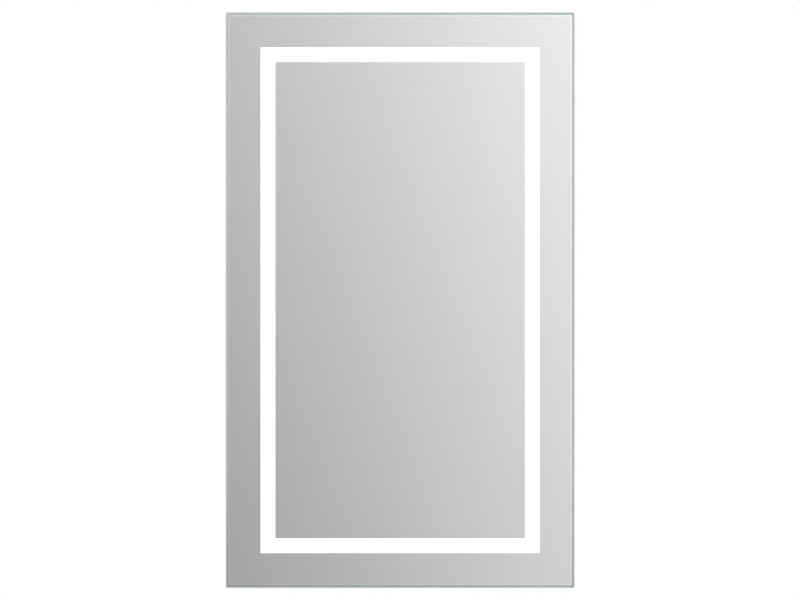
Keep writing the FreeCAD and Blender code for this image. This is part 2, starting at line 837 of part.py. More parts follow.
def terminal_block():
    """A moulded strip: square entries for the supply, round bores for the leads, a well over each screw."""
    floor = box_floor + box_wall
    top = floor + block_height
    high = about(box_middle, block_ways * block_pitch)
    body = rounded(about(block_offset, block_length), (floor, top), high, block_corner_radius)
    left = block_offset - block_length / 4
    well = block_screw_radius + thread_fit
    cuts = []
    for z in block_way_heights():
        cuts.append(rod(block_bore_radius, (left, block_line, z), (1, 0, 0), block_length))
        cuts.append(box((left - block_length, left), about(block_line, block_entry), about(z, block_entry)))
        for side in (-1, 1):
            x = block_offset + side * block_length / 4
            cuts.append(rod(well, (x, block_line, z), (0, 1, 0), top - block_line + 1))
    body = body.cut(cuts)
    seat = top - block_seat_depth
    body = drill(body, block_screw_points(), m3_radius + thread_fit, (floor - 1, top + 1))
    return drill(body, block_screw_points(), m3_head_radius + screw_head_room, (seat, top + 1))


def block_clamp_screws():
    """The brass screws that pinch the wires, two to a way."""
    slot_width, slot_depth = 0.2 * block_screw_length, 0.25 * block_screw_length
    slot = box(about(0, 3 * block_screw_radius), about(0, slot_width), (-slot_depth, 1))
    screw = rod(block_screw_radius, (0, 0, -block_screw_length), (0, 0, 1), block_screw_length).cut(slot)
    points = [
        (block_offset + side * block_length / 4, z) for z in block_way_heights() for side in (-1, 1)
    ]
    return place_screws(screw, points, block_line + block_bore_radius + block_screw_length, 1)


def clamp_screw_points():
    return [(clamp_offset, box_middle + s * clamp_screw_offset) for s in (-1, 1)]


def cable_clamp():
    """A saddle that holds the supply cable down to the box's floor."""
    floor = box_floor + box_wall
    crown = floor + clamp_bore_radius
    wide, wider = about(clamp_offset, clamp_width), about(clamp_offset, 2 * clamp_width)
    outside = clamp_bore_radius + clamp_foot
    feet = box(wide, (floor, floor + clamp_foot), about(box_middle, clamp_span))
    legs = box(wide, (floor, crown), about(box_middle, 2 * outside))
    arch = rod(outside, (wide[0], crown, box_middle), (1, 0, 0), clamp_width)
    tunnel = rod(clamp_bore_radius, (wider[0], crown, box_middle), (1, 0, 0), 2 * clamp_width)
    mouth = box(wider, (floor - outside, crown), about(box_middle, 2 * clamp_bore_radius))
    below = box(wider, (floor - outside, floor), about(box_middle, 2 * clamp_span))
    saddle = feet.fuse([legs, arch]).cut([tunnel, mouth, below]).removeSplitter()
    return drill(saddle, clamp_screw_points(), m3_radius + thread_fit, (floor - 1, floor + clamp_foot + 1))


def earth_point():
    return earth_x, box_middle - box_inner_height / 2 + earth_rise


def earth_stud():
    """A stud with its head outside the box's floor."""
    x, z = earth_point()
    head = rod(stud_head_radius, (x, box_floor, z), (0, -1, 0), stud_head_height)
    return head.fuse(rod(stud_radius, (x, box_floor, z), (0, 1, 0), stud_length))


def earth_nut():
    """A washer and a hexagonal nut on the stud, down on the box's floor."""
    x, z = earth_point()
    floor = box_floor + box_wall
    seat = floor + washer_thickness
    corners = [
        (x + nut_radius * math.cos(math.radians(a)), z + nut_radius * math.sin(math.radians(a)))
        for a in range(0, 360, 60)
    ]
    washer = rod(washer_radius, (x, floor, z), (0, 1, 0), washer_thickness)
    nut = prism(corners, (seat, seat + nut_height))
    bore = rod(stud_radius + thread_fit, (x, floor - 1, z), (0, 1, 0), stud_length + 2)
    return [washer.cut(bore), nut.cut(bore)]


# ---------------------------------------------------------------- driver
def driver_screw_points():
    x = driver_length / 2 + driver_ear / 2
    return [(-x, driver_ear_line), (x, driver_ear_line)]


def driver_outline(inset, y, radius):
    return rounded(
        about(0, driver_length - 2 * inset), y, about(driver_middle, driver_width - 2 * inset), radius
    )


def driver_case():
    """The driver's lower shell, with an ear at each end and four pillars for its board."""
    rim = cover_front - driver_height + driver_wall
    inner_radius = driver_corner_radius - driver_wall
    shell = driver_outline(0, (cover_front, rim), driver_corner_radius)
    inner = driver_outline(driver_wall, (cover_front - driver_wall, rim - 1), inner_radius)
    ear_face = cover_front - driver_ear_thickness
    ears = rounded(
        about(0, driver_length + 2 * driver_ear),
        (cover_front, ear_face),
        about(driver_ear_line, driver_ear_width),
        driver_ear_radius,
    )
    shell = shell.fuse(ears).cut(inner).removeSplitter()
    for sx in (-1, 1):
        start = (sx * (driver_length / 2 - 2 * driver_wall), lead_y, driver_lead_line)
        shell = shell.cut(rod(bush_neck_radius, start, (sx, 0, 0), 3 * driver_wall))
    board_rear = driver_board_faces()[0]
    pillars = [
        rod(driver_pillar_radius, (px, board_rear, pz), (0, 1, 0), cover_front - board_rear)
        for px, pz in driver_pillar_points()
    ]
    shell = shell.fuse(pillars).removeSplitter()
    return drill(shell, driver_screw_points(), m4_radius + thread_fit, (cover_front + 1, ear_face - 1))


def driver_pillar_points():
    inset = driver_board_clearance + driver_pillar_inset
    x, z = driver_length / 2 - inset, driver_width / 2 - inset
    return [(sx * x, driver_middle + sz * z) for sx in (-1, 1) for sz in (-1, 1)]


def driver_lid():
    """The driver's lid, with a lip that drops inside the shell."""
    top = cover_front - driver_height
    seat = top + driver_wall
    lip_depth = (seat, seat + driver_lip_height)
    radius = driver_corner_radius - driver_wall
    plate = driver_outline(0, (top, seat), driver_corner_radius)
    outer = driver_wall + driver_lip_fit
    hollow = driver_outline(outer + driver_lip_wall, lip_depth, radius)
    return plate.fuse(driver_outline(outer, lip_depth, radius).cut(hollow)).removeSplitter()


def driver_board_faces():
    rear = cover_front - driver_board_rise
    return rear, rear - driver_board_thickness


def driver_board():
    """The driver's circuit board, on four pillars."""
    clear = driver_board_clearance
    width, height = driver_length - 2 * clear, driver_width - 2 * clear
    return box(about(0, width), driver_board_faces(), about(driver_middle, height))


def driver_components():
    """The taller components on the driver's board, placed as shares of its half length and half width."""
    face = driver_board_faces()[1]
    tall = face - (cover_front - driver_height + driver_wall + component_clearance)
    low = tall - low_component_drop
    half_length = driver_length / 2 - driver_board_clearance
    half_width = driver_width / 2 - driver_board_clearance

    def block(right, up, width, height, rise):
        middle = driver_middle + up * half_width
        return box(about(right * half_length, width), (face, face - rise), about(middle, height))

    def can(right, up, radius, rise):
        return rod(radius, (right * half_length, face, driver_middle + up * half_width), (0, -1, 0), rise)

    limbs = block(0.07, 0, core_limb_length, core_limb_width, tall)
    return [
        limbs.fuse(block(0.07, 0, core_length, core_width, low)).removeSplitter(),
        block(-0.41, 0.35, choke_size, choke_size, low),
        block(-0.41, -0.65, film_capacitor_length, film_capacitor_thickness, low),
        block(0.36, 0.65, heat_sink_length, heat_sink_thickness, tall),
        can(-0.72, -0.24, input_capacitor_radius, tall),
        can(0.41, -0.41, output_capacitor_radius, tall),
        can(0.55, -0.41, output_capacitor_radius, tall),
        can(0.75, 0.35, output_capacitor_radius, low),
    ]


# ---------------------------------------------------------------- hanging rails and feet
def hook_section_extrusion(points, length):
    """An outline of (y, z) points, drawn out along X."""
    start = [V(-length / 2, y, z) for y, z in points]
    return Part.Face(Part.makePolygon(start + start[:1])).extrude(V(length, 0, 0))


def hanger_rail():
    """The rail on the mirror: a flange on the back cover, a step to the wall and a hook that points down."""
    t = hook_thickness
    top = pane_top - hanger_top
    seat = pane_top - hook_seat
    tip = pane_top - hook_tip
    leg_rear = -hook_wall_gap
    leg_front = leg_rear - t
    outline = [
        (cover_rear, top),
        (cover_rear + t, top),
        (cover_rear + t, seat + t),
        (leg_rear, seat + t),
        (leg_rear, tip),
        (leg_front, tip),
        (leg_front, seat),
        (cover_rear, seat),
    ]
    rail = hook_section_extrusion(outline, rail_length)
    return drill(rail, hanger_screw_points(), m4_radius + thread_fit, (cover_rear - 1, cover_rear + t + 1))


def wall_rail():
    """The rail on the wall: a plate with screw holes, a step away from the wall and a hook that points up."""
    t = hook_thickness
    seat = pane_top - hook_seat
    plate_top = pane_top - wall_plate_top
    leg_rear = -(hook_wall_gap + t + hook_side_gap)
    outline = [
        (0, plate_top),
        (0, plate_top - wall_rail_plate),
        (-t, plate_top - wall_rail_plate),
        (-t, plate_top - t),
        (leg_rear - t, plate_top - t),
        (leg_rear - t, seat),
        (leg_rear, seat),
        (leg_rear, plate_top),
    ]
    rail = hook_section_extrusion(outline, rail_length)
    return drill(rail, wall_hole_points(), wall_hole_radius, (1, -t - 1))


def wall_hole_points():
    return [(s * spacing / 2, 0) for spacing in (stud_spacing, inner_hole_spacing) for s in (-1, 1)]


def wall_bumpers():
    """Two rubber discs that keep the lower edge off the wall."""
    z = pane_bottom + frame_inset + rear_flange_width / 2
    return [rod(bumper_radius, (s * bumper_side, frame_rear, z), (0, 1, 0), wall_stand_off) for s in (-1, 1)]


# ---------------------------------------------------------------- rocker switch
def rocker_pivot():
    """The pivot lies in the middle of the housing's well, just inside the frame's outer face."""
    return switch_middle, switch_y(), switch_face + rocker_pivot_height


def switch_housing():
    """The switch's body with its bezel under the frame, open below for the rocker."""
    y = switch_y()
    bezel = box(
        about(switch_middle, switch_body_length + 2 * switch_bezel_rim),
        about(y, switch_body_width + 2 * switch_bezel_rim),
        (switch_face, switch_face - switch_bezel_thickness),
    )
    rim = [e for e in bezel.Edges if e.BoundBox.ZMax < switch_face - switch_bezel_thickness / 2]
    bezel = bezel.makeFillet(switch_bezel_rim * 0.6, rim)
    top = switch_face + switch_body_height
    body = box(about(switch_middle, switch_body_length), about(y, switch_body_width), (switch_face, top))
    well = box(
        about(switch_middle, switch_well_length),
        about(y, switch_well_width),
        (switch_face - switch_bezel_thickness - 1, top - switch_wall),
    )
    px, _, pz = rocker_pivot()
    across = rocker_width + 2 * (rocker_pin_length + lead_fit)
    pin_hole = rod(rocker_pin_radius + rocker_pin_fit, (px, y - across / 2, pz), (0, 1, 0), across)
    housing = bezel.fuse(body).removeSplitter().cut([well, pin_hole])
    slot = (terminal_thickness + lead_fit, terminal_width + lead_fit)
    for x in terminal_places():
        housing = housing.cut(box(about(x, slot[0]), about(y, slot[1]), (top - switch_wall - 1, top + 1)))
    return housing


def terminal_places():
    return list(about(switch_middle, terminal_spacing))


def switch_terminals():
    """Two blade terminals through the housing's roof."""
    top = switch_face + switch_body_height
    return [
        box(
            about(x, terminal_thickness),
            about(switch_y(), terminal_width),
            (top - switch_wall - terminal_inner_length, top + terminal_length),
        )
        for x in terminal_places()
    ]


def rocker():
    """The rocker: two faces that meet in a shallow ridge, pressed to the right as when the light is on."""
    px, y, pz = rocker_pivot()
    half, back = rocker_length / 2, rocker_back_length / 2
    boss = 2 * rocker_pin_radius
    outline = [
        (-half, -rocker_corner),
        (0, -rocker_rise),
        (half, -rocker_corner),
        (back, 0),
        (back, rocker_pin_radius / 2),
        (boss, boss),
        (-boss, boss),
        (-back, rocker_pin_radius / 2),
        (-back, 0),
    ]
    points = [V(px + a, y - rocker_width / 2, pz + b) for a, b in outline]
    cap = Part.Face(Part.makePolygon(points + points[:1])).extrude(V(0, rocker_width, 0))
    ends = [e for e in cap.Edges if e.BoundBox.ZMax < pz - rocker_rise - tiny and e.BoundBox.XLength < tiny]
    cap = cap.makeFillet(rocker_edge_radius, ends)
    across = rocker_width + 2 * rocker_pin_length
    cap = cap.fuse(rod(rocker_pin_radius, (px, y - across / 2, pz), (0, 1, 0), across)).removeSplitter()
    cap.rotate(V(px, y, pz), V(0, 1, 0), -rocker_tilt)
    return cap


# ---------------------------------------------------------------- leads
def supply_lead_points():
    """From the wiring box's lower hole round to the driver's right end."""
    z = box_lead_heights()[1]
    return [
        (box_inner_width / 2 - box_lead_tail, lead_y, z),
        (supply_lead_reach, lead_y, z),
        (supply_lead_reach, lead_y, driver_lead_line),
        (driver_length / 2 - driver_wall - lead_tail, lead_y, driver_lead_line),
    ]


def switch_lead_points():
    """From the wiring box's upper hole, down the right side and across the trough to the switch."""
    z = box_lead_heights()[0]
    last = switch_face + switch_body_height + terminal_length / 2
    return [
        (box_inner_width / 2 - box_lead_tail, lead_y, z),
        (switch_lead_reach, lead_y, z),
        (switch_lead_reach, lead_y, last),
        (terminal_places()[1] + switch_lead_stop, lead_y, last),
    ]


def light_lead_points():
    """From the driver's left end to the connector on the left board."""
    x, _ = from_edge("left", trough_middle, 0)
    return [
        (-(driver_length / 2 - driver_wall - lead_tail), lead_y, driver_lead_line),
        (x + lead_tail, lead_y, driver_lead_line),
    ]


def light_lead():
    start, end = light_lead_points()
    return rod(lead_radius, start, (-1, 0, 0), start[0] - end[0])


def lead_bushes():
    """A rubber bush wherever a lead passes through metal or the driver's shell."""
    bore = lead_radius + lead_fit
    box_side = box_inner_width / 2 + box_wall / 2
    bushes = [bush((box_side, lead_y, z), (1, 0, 0), box_wall, bore) for z in box_lead_heights()]
    for sx in (-1, 1):
        x = sx * (driver_length / 2 - driver_wall / 2)
        bushes.append(bush((x, lead_y, driver_lead_line), (1, 0, 0), driver_wall, bore))
    bushes.append(bush((left_fin(), lead_y, driver_lead_line), (1, 0, 0), fin_thickness, bore))
    for z in fin_middles():
        bushes.append(bush((switch_lead_reach, lead_y, z), (0, 0, 1), fin_thickness, bore))
    return bushes


def lead_clip(x, z, along_x):
    """A stuck-down clip: a foot on the back cover and a loop round the lead."""
    r = lead_radius + lead_fit
    outer = r + clip_wall
    direction = (1, 0, 0) if along_x else (0, 0, 1)
    half = clip_width / 2
    start = (x - half, lead_y, z) if along_x else (x, lead_y, z - half)
    loop = rod(outer, start, direction, clip_width)
    size_x, size_z = (clip_width, 2 * clip_foot) if along_x else (2 * clip_foot, clip_width)
    foot = box(about(x, size_x), (cover_front, cover_front - clip_foot_thickness), about(z, size_z))
    neck_x, neck_z = (clip_width, 2 * r) if along_x else (2 * r, clip_width)
    neck = box(about(x, neck_x), (cover_front, lead_y), about(z, neck_z))
    hole_start = (x - clip_width, lead_y, z) if along_x else (x, lead_y, z - clip_width)
    return loop.fuse([foot, neck]).cut(rod(r, hole_start, direction, 2 * clip_width)).removeSplitter()


def lead_clips():
    upper, lower = box_lead_heights()
    first = upper - clip_end
    last = pane_bottom + web_edge + clip_last
    step = (last - first) / (clips_down - 1)
    clips = [lead_clip(switch_lead_reach, first + i * step, False) for i in range(clips_down)]
    clips.append(lead_clip((box_inner_width / 2 + switch_lead_reach) / 2, upper, True))
    clips.append(lead_clip(supply_lead_reach, (lower + driver_lead_line) / 2, False))
    clips.append(lead_clip((left_fin() - driver_length / 2) / 2, driver_lead_line, True))
    return clips


def core(points):
    """One insulated core of a lead, bent round each of its points."""
    return lead(points, core_radius, [4 * core_radius] * (len(points) - 2))


def box_core(lead_z, way, side):
    """One core, from the end of a lead inside the box to a way of the terminal block."""
    end = box_inner_width / 2 - box_lead_tail
    block_side = block_offset + block_length / 2
    quarter = (end - block_side) / 4
    z0, z1 = lead_z + side * (core_radius + core_gap), block_way_heights()[way]
    return core([
        (end, lead_y, z0),
        (end - quarter, lead_y, z0),
        (block_side + quarter, block_line, z1),
        (block_offset + block_length / 4 + block_screw_radius, block_line, z1),
    ])


def line_cores():
    """Brown cores: from the line's way to the switch, and from the linked way to the driver."""
    upper, lower = box_lead_heights()
    return [box_core(upper, 3, 1), box_core(lower, 1, 1)]


def switched_cores():
    """The core that comes back from the switch, and the link from its way to the driver's."""
    upper, _ = box_lead_heights()
    first, second = block_way_heights()[1:3]
    inside = block_offset - block_length / 4 - block_screw_radius
    outside = block_offset - block_length / 2 - link_reach
    link = core([
        (inside, block_line, first),
        (outside, block_line, first),
        (outside, block_line, second),
        (inside, block_line, second),
    ])
    return [box_core(upper, 2, -1), link]


def neutral_core():
    _, lower = box_lead_heights()
    return box_core(lower, 0, -1)


def switch_cores():
    """Two short cores from the end of the switch lead to the blades; one steps over the nearer blade."""
    end, _, z = switch_lead_points()[-1]
    far, near = terminal_places()
    lane = core_radius + core_gap
    blade = terminal_thickness / 2
    over = lead_y + lane + switch_core_rise
    quarter = (near - far) / 4
    straight = rod(core_radius, (end, lead_y - lane, z), (-1, 0, 0), end - near - blade)
    stepped = core([
        (end, lead_y + lane, z),
        (end - quarter, lead_y + lane, z),
        (near + quarter / 2, over, z),
        (near - quarter, over, z),
        (far + quarter, lead_y + lane, z),
        (far + blade, lead_y + lane, z),
    ])
    return [straight, stepped]


# ---------------------------------------------------------------- write one file per piece
def nodes():
    box_inside = box_floor + box_wall
    block_seat = box_inside + block_height - block_seat_depth
    plate_rear = cover_rear + access_cover_thickness
    corner_front = web_front - corner_thickness
    hanger_face = cover_rear + hook_thickness

    corner_screw = m3_screw(corner_thickness, frame_wall)
    cover_screw = m3_screw(cover_thickness, frame_wall)
    access_screw = m3_screw(access_cover_thickness, cover_thickness, box_wall)
    clamp_screw = m3_screw(clamp_foot, box_wall)
    block_screw = m3_screw(block_height - block_seat_depth, box_wall)
    hanger_screw = m4_screw(hook_thickness, cover_thickness, frame_wall)
    driver_screw = m4_screw(cover_thickness, driver_ear_thickness)

    made = {
        "wall_rail": wall_rail(),
        "hanger_rail": hanger_rail(),
        "hanger_screws": place_screws(hanger_screw, hanger_screw_points(), hanger_face, 1),
        "wall_bumpers": wall_bumpers(),
        "glass_pane": glass_pane(),
        "silvering_border": silvering_border(),
        "silvering_centre": silvering_centre(),
        "mounting_tape": mounting_tape(),
        "corner_screws": place_screws(corner_screw, corner_screw_points(), corner_front, -1),
        "back_cover": back_cover(),
        "back_cover_screws": place_screws(cover_screw, cover_screw_points(), cover_rear, 1),
        "wiring_box": wiring_box(),
        "access_plate": access_plate(),
        "access_plate_screws": place_screws(access_screw, access_screw_points(), plate_rear, 1),
        "inlet_grommet": inlet_grommet(),
        "terminal_block": terminal_block(),
        "terminal_block_screws": place_screws(block_screw, block_screw_points(), block_seat, 1),
        "terminal_clamp_screws": block_clamp_screws(),
        "cable_clamp": cable_clamp(),
        "cable_clamp_screws": place_screws(clamp_screw, clamp_screw_points(), box_inside + clamp_foot, 1),
        "earth_stud": earth_stud(),
        "earth_nut_and_washer": earth_nut(),
        "driver_case": driver_case(),
        "driver_lid": driver_lid(),
        "driver_board": driver_board(),
        "driver_components": driver_components(),
        "driver_screws": place_screws(driver_screw, driver_screw_points(), cover_rear, 1),
        "board_tape": board_tape(),
        "jumper_leads_positive": jumper_leads(1),
        "jumper_leads_negative": jumper_leads(-1),
        "light_connector": light_connector(),
        "switch_housing": switch_housing(),
        "switch_terminals": switch_terminals(),
        "rocker": rocker(),
        "supply_lead": lead(supply_lead_points(), lead_radius, (8 * lead_radius, 8 * lead_radius)),
        "switch_lead": lead(switch_lead_points(), lead_radius, (8 * lead_radius, 2.4 * lead_radius)),
        "light_lead": light_lead(),
        "lead_bushes": lead_bushes(),
        "lead_clips": lead_clips(),
        "line_cores": line_cores(),
        "switched_cores": switched_cores(),
        "neutral_core": neutral_core(),
        "switch_cores": switch_cores(),
    }
    for side in SIDES:
        made[f"frame_rail_{side}"] = frame_rail(side)
        made[f"diffuser_{side}"] = diffuser(side)
        made[f"light_board_{side}"] = light_board(side)
        made[f"light_chips_{side}"] = light_chips(side)
    made["corner_brackets"] = [corner_bracket(sx, sz) for sx in (-1, 1) for sz in (-1, 1)]
    return made


def main():
    os.makedirs(PARTS_FOLDER, exist_ok=True)
    made = nodes()
    for name, shape in made.items():
        solids = [s for one in (shape if isinstance(shape, list) else [shape]) for s in one.Solids]
        if not solids or not all(s.isValid() and s.Volume > 0 for s in solids):
            print("NOT A GOOD SOLID:", name, len(solids))
        whole = solids[0] if len(solids) == 1 else Part.makeCompound(solids)
        whole.exportStep(f"{PARTS_FOLDER}/{name}.step")
    print(len(made), "nodes written")
    print("pane top", pane_top, "bottom", pane_bottom, "front", pane_front)


main()
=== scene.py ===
# %% [markdown]
# # A lighted bathroom mirror
#
# The mechanical model of the mirror is finished: sixty pieces at their real size, in metres, with X across,
# Z up and the front facing -Y. The wall is the plane y = 0. This lesson gives the pieces their finishes,
# rebuilds the few whose look depends on a finer shape, and sets up a small white studio round them.
#
# The first cell loads the model as a fixed frame. Its pieces are never moved or reshaped here. A piece that
# needs a finer shape is modelled anew in the same place, and the old one is hidden.

# %% Load the mechanical model
import math

import bmesh
import bpy
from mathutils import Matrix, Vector


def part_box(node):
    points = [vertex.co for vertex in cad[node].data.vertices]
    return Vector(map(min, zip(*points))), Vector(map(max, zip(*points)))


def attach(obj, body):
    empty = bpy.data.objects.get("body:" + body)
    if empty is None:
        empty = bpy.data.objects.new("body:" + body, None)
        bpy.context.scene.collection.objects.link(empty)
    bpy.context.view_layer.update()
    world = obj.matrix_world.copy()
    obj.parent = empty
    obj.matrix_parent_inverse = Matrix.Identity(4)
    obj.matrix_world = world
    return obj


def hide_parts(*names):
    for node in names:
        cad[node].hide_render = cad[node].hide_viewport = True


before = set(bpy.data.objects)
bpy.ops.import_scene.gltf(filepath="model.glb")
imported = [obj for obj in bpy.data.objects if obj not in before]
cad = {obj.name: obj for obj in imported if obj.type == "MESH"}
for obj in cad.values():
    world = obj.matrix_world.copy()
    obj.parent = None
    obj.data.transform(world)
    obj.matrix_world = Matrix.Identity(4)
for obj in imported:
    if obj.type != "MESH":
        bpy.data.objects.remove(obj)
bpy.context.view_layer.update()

mm = 0.001

# %% [markdown]
# ## Helpers for materials
#
# Colours on a screen are written as sRGB hex values, but a renderer adds up light, which needs linear
# values. One function turns the first into the second. Another adds a shader node, sets what it is told,
# and then fills its sockets: with a plain value, or with a link where it is given another node's output.
# Every material below is made with it, and starts from the shader that the last function sets up.

# %% Colour and node helpers
def linear(hex_colour):
    """An sRGB colour such as "#C8CACC", as the four linear values that a colour socket takes."""
    values = [int(hex_colour[i:i + 2], 16) / 255 for i in (1, 3, 5)]
    return (*(v / 12.92 if v <= 0.04045 else ((v + 0.055) / 1.055) ** 2.4 for v in values), 1.0)


def join(tree, node, sockets):
    """Fills a node's sockets with plain values or with links."""
    for socket, value in sockets.items():
        if isinstance(value, bpy.types.NodeSocket):
            tree.links.new(value, node.inputs[socket])
        else:
            node.inputs[socket].default_value = value


def add(tree, kind, sockets=None, **settings):
    """Adds one node with its settings and its sockets, and returns its first output in use."""
    node = tree.nodes.new(kind)
    for name, value in settings.items():
        setattr(node, name, value)
    join(tree, node, sockets or {})
    return next((o for o in node.outputs if o.enabled), None)


def start_material(name):
    """A new material: its tree, its Principled shader, and the piece's own coordinates in metres."""
    material = bpy.data.materials.new(name)
    material.use_nodes = True
    tree = material.node_tree
    tree.nodes.clear()
    surface = tree.nodes.new("ShaderNodeBsdfPrincipled")
    add(tree, "ShaderNodeOutputMaterial", {"Surface": surface.outputs["BSDF"]})
    place = tree.nodes.new("ShaderNodeTexCoord").outputs["Object"]
    return material, tree, surface, place


MIX_FACTOR, MIX_A, MIX_B = 0, 6, 7          # the Mix node's factor and its two colour sockets
MIX_FLOAT_A, MIX_FLOAT_B = 2, 3             # and the two sockets that it has when it mixes plain numbers
WHITE = linear("#FFFFFF")
print("white turns into", WHITE, "and mid grey into", [round(v, 3) for v in linear("#808080")])

# %% [markdown]
# ## The glass
#
# The pane is 5 mm float glass. Its edges are ground round and polished, which glaziers call a pencil edge,
# and a band on its back is sandblasted so that the light behind it shows. Clear glass is almost colourless
# seen flat on and green along its edge, because the iron in it tints a long path. So the rounded rim is a
# material of its own, greener and darker than the flat faces. Sandblasting leaves grains of about 0.2 mm;
# the bump is drawn at 0.8 mm, because finer grain would vanish at this distance.

# %% Glass materials
def clear_float_glass():
    """Drawn on molten tin, so it is flat and glossy, with a very slow waviness left over."""
    material, tree, surface, place = start_material("clear_float_glass")
    waves = add(tree, "ShaderNodeTexNoise", {"Vector": place, "Scale": 1 / (90 * mm), "Detail": 1.0})
    tint = add(
        tree, "ShaderNodeMix",
        {MIX_FACTOR: waves, MIX_A: linear("#FEFEFE"), MIX_B: linear("#FCFDFD")},
        data_type="RGBA",
    )
    join(tree, surface, {"Base Color": tint, "Roughness": 0.0, "IOR": 1.52, "Transmission Weight": 1.0})
    return material


def polished_edge_glass():
    """Ground round on a diamond wheel and polished with felt, which leaves a faint haze."""
    material, tree, surface, place = start_material("polished_edge_glass")
    clouds = add(tree, "ShaderNodeTexNoise", {"Vector": place, "Scale": 1 / (160 * mm), "Detail": 2.0})
    marks = add(tree, "ShaderNodeTexNoise", {"Vector": place, "Scale": 1 / (30 * mm), "Detail": 2.0})
    tint = add(
        tree, "ShaderNodeMix",
        {MIX_FACTOR: clouds, MIX_A: linear("#B4C1BF"), MIX_B: linear("#C6D0CE")},
        data_type="RGBA",
    )
    rough = add(tree, "ShaderNodeMapRange", {"Value": marks, "To Min": 0.08, "To Max": 0.12})
    join(tree, surface, {"Base Color": tint, "Roughness": rough, "IOR": 1.52, "Transmission Weight": 0.3})
    return material


def sandblasted_glass():
    """Grit leaves a fine matt pitting that spreads the light of the diodes."""
    material, tree, surface, place = start_material("sandblasted_glass")
    grit = add(tree, "ShaderNodeTexNoise", {"Vector": place, "Scale": 1 / (0.8 * mm), "Detail": 2.0})
    passes = add(tree, "ShaderNodeTexNoise", {"Vector": place, "Scale": 1 / (40 * mm), "Detail": 1.0})
    tint = add(
        tree, "ShaderNodeMix",
        {MIX_FACTOR: passes, MIX_A: linear("#F7FAF9"), MIX_B: linear("#FDFEFE")},
        data_type="RGBA",
    )
    rough = add(tree, "ShaderNodeMapRange", {"Value": grit, "To Min": 0.45, "To Max": 0.55})
    pitted = add(tree, "ShaderNodeBump", {"Height": grit, "Distance": 0.05 * mm, "Strength": 0.4})
    join(tree, surface, {
        "Base Color": tint, "Roughness": rough, "IOR": 1.52, "Transmission Weight": 1.0, "Normal": pitted,
    })
    return material


glass, edge_glass, frosted = clear_float_glass(), polished_edge_glass(), sandblasted_glass()
print("glass:", glass.name, edge_glass.name, frosted.name)

# %% [markdown]
# ## The silver
#
# The mirror is a film of silver on the back of the glass. It stops a little short of the edge. Its outermost
# line is a painted dark line of shade in the silver's colour, and a little rougher. The photograph shows that
# line all round. The painted shade is darkest along the foot and darker on the right than on the left. A
# painted highlight, a hair-line of brighter silver, lies inside it. Behind, the silver is painted grey.

# %% Sizes of the silver
pane_low, pane_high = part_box("glass_pane")
pane_middle = (pane_low + pane_high) / 2
silver_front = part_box("silvering_centre")[0].y
paint_front = silver_front + 0.05 * mm      # the rear half of the coat is paint
painted_shade_edge = 4.1 * mm                        # how far in from the pane's edge the painted dark line of shade reaches
painted_highlight_edge = 7.4 * mm                    # and how far in the painted highlight, a hair-line of brighter silver, ends
shaded_foot_height = 200 * mm                         # how far up from the foot the painted shade darkens the rim line
dull_roughness = 0.15
paint_roughness = 0.42
print("silver starts at y =", round(silver_front / mm, 3), "mm, dulled up to", painted_shade_edge / mm, "mm in")


# %% Helpers for the rim of the silver
def distance_from_edge(tree, place):
    """How far in from the nearest side of the pane a point is, in metres."""
    half_size = (pane_high - pane_low) / 2
    centred = add(tree, "ShaderNodeVectorMath", {0: place, 1: pane_middle}, operation="SUBTRACT")
    outward = add(tree, "ShaderNodeVectorMath", {0: centred}, operation="ABSOLUTE")
    inward = add(tree, "ShaderNodeVectorMath", {0: half_size, 1: outward}, operation="SUBTRACT")
    sides = add(tree, "ShaderNodeSeparateXYZ", {"Vector": inward}).node.outputs
    return add(tree, "ShaderNodeMath", {0: sides["X"], 1: sides["Z"]}, operation="MINIMUM")


def painted_rim_brightness(tree, place):
    """How bright the painted shade leaves the film's outermost line: least along the foot, less on the right.
    """
    brightness_on_right = 0.35
    share_of_blotches = 0.15
    sides = add(tree, "ShaderNodeSeparateXYZ", {"Vector": place}).node.outputs
    above_foot = add(
        tree, "ShaderNodeMapRange",
        {"Value": sides["Z"], "From Min": pane_low.z, "From Max": pane_low.z + shaded_foot_height},
        interpolation_type="SMOOTHSTEP",
    )
    across = add(
        tree, "ShaderNodeMapRange",
        {
            "Value": sides["X"], "From Min": pane_low.x, "From Max": pane_high.x,
            "To Min": 1.0, "To Max": brightness_on_right,
        },
    )
    even = add(tree, "ShaderNodeMath", {0: above_foot, 1: across}, operation="MULTIPLY")
    blotches = add(tree, "ShaderNodeTexNoise", {"Vector": place, "Scale": 1 / (160 * mm), "Detail": 2.0})
    return add(
        tree, "ShaderNodeMix",
        {MIX_FACTOR: share_of_blotches, MIX_FLOAT_A: even, MIX_FLOAT_B: blotches},
    )


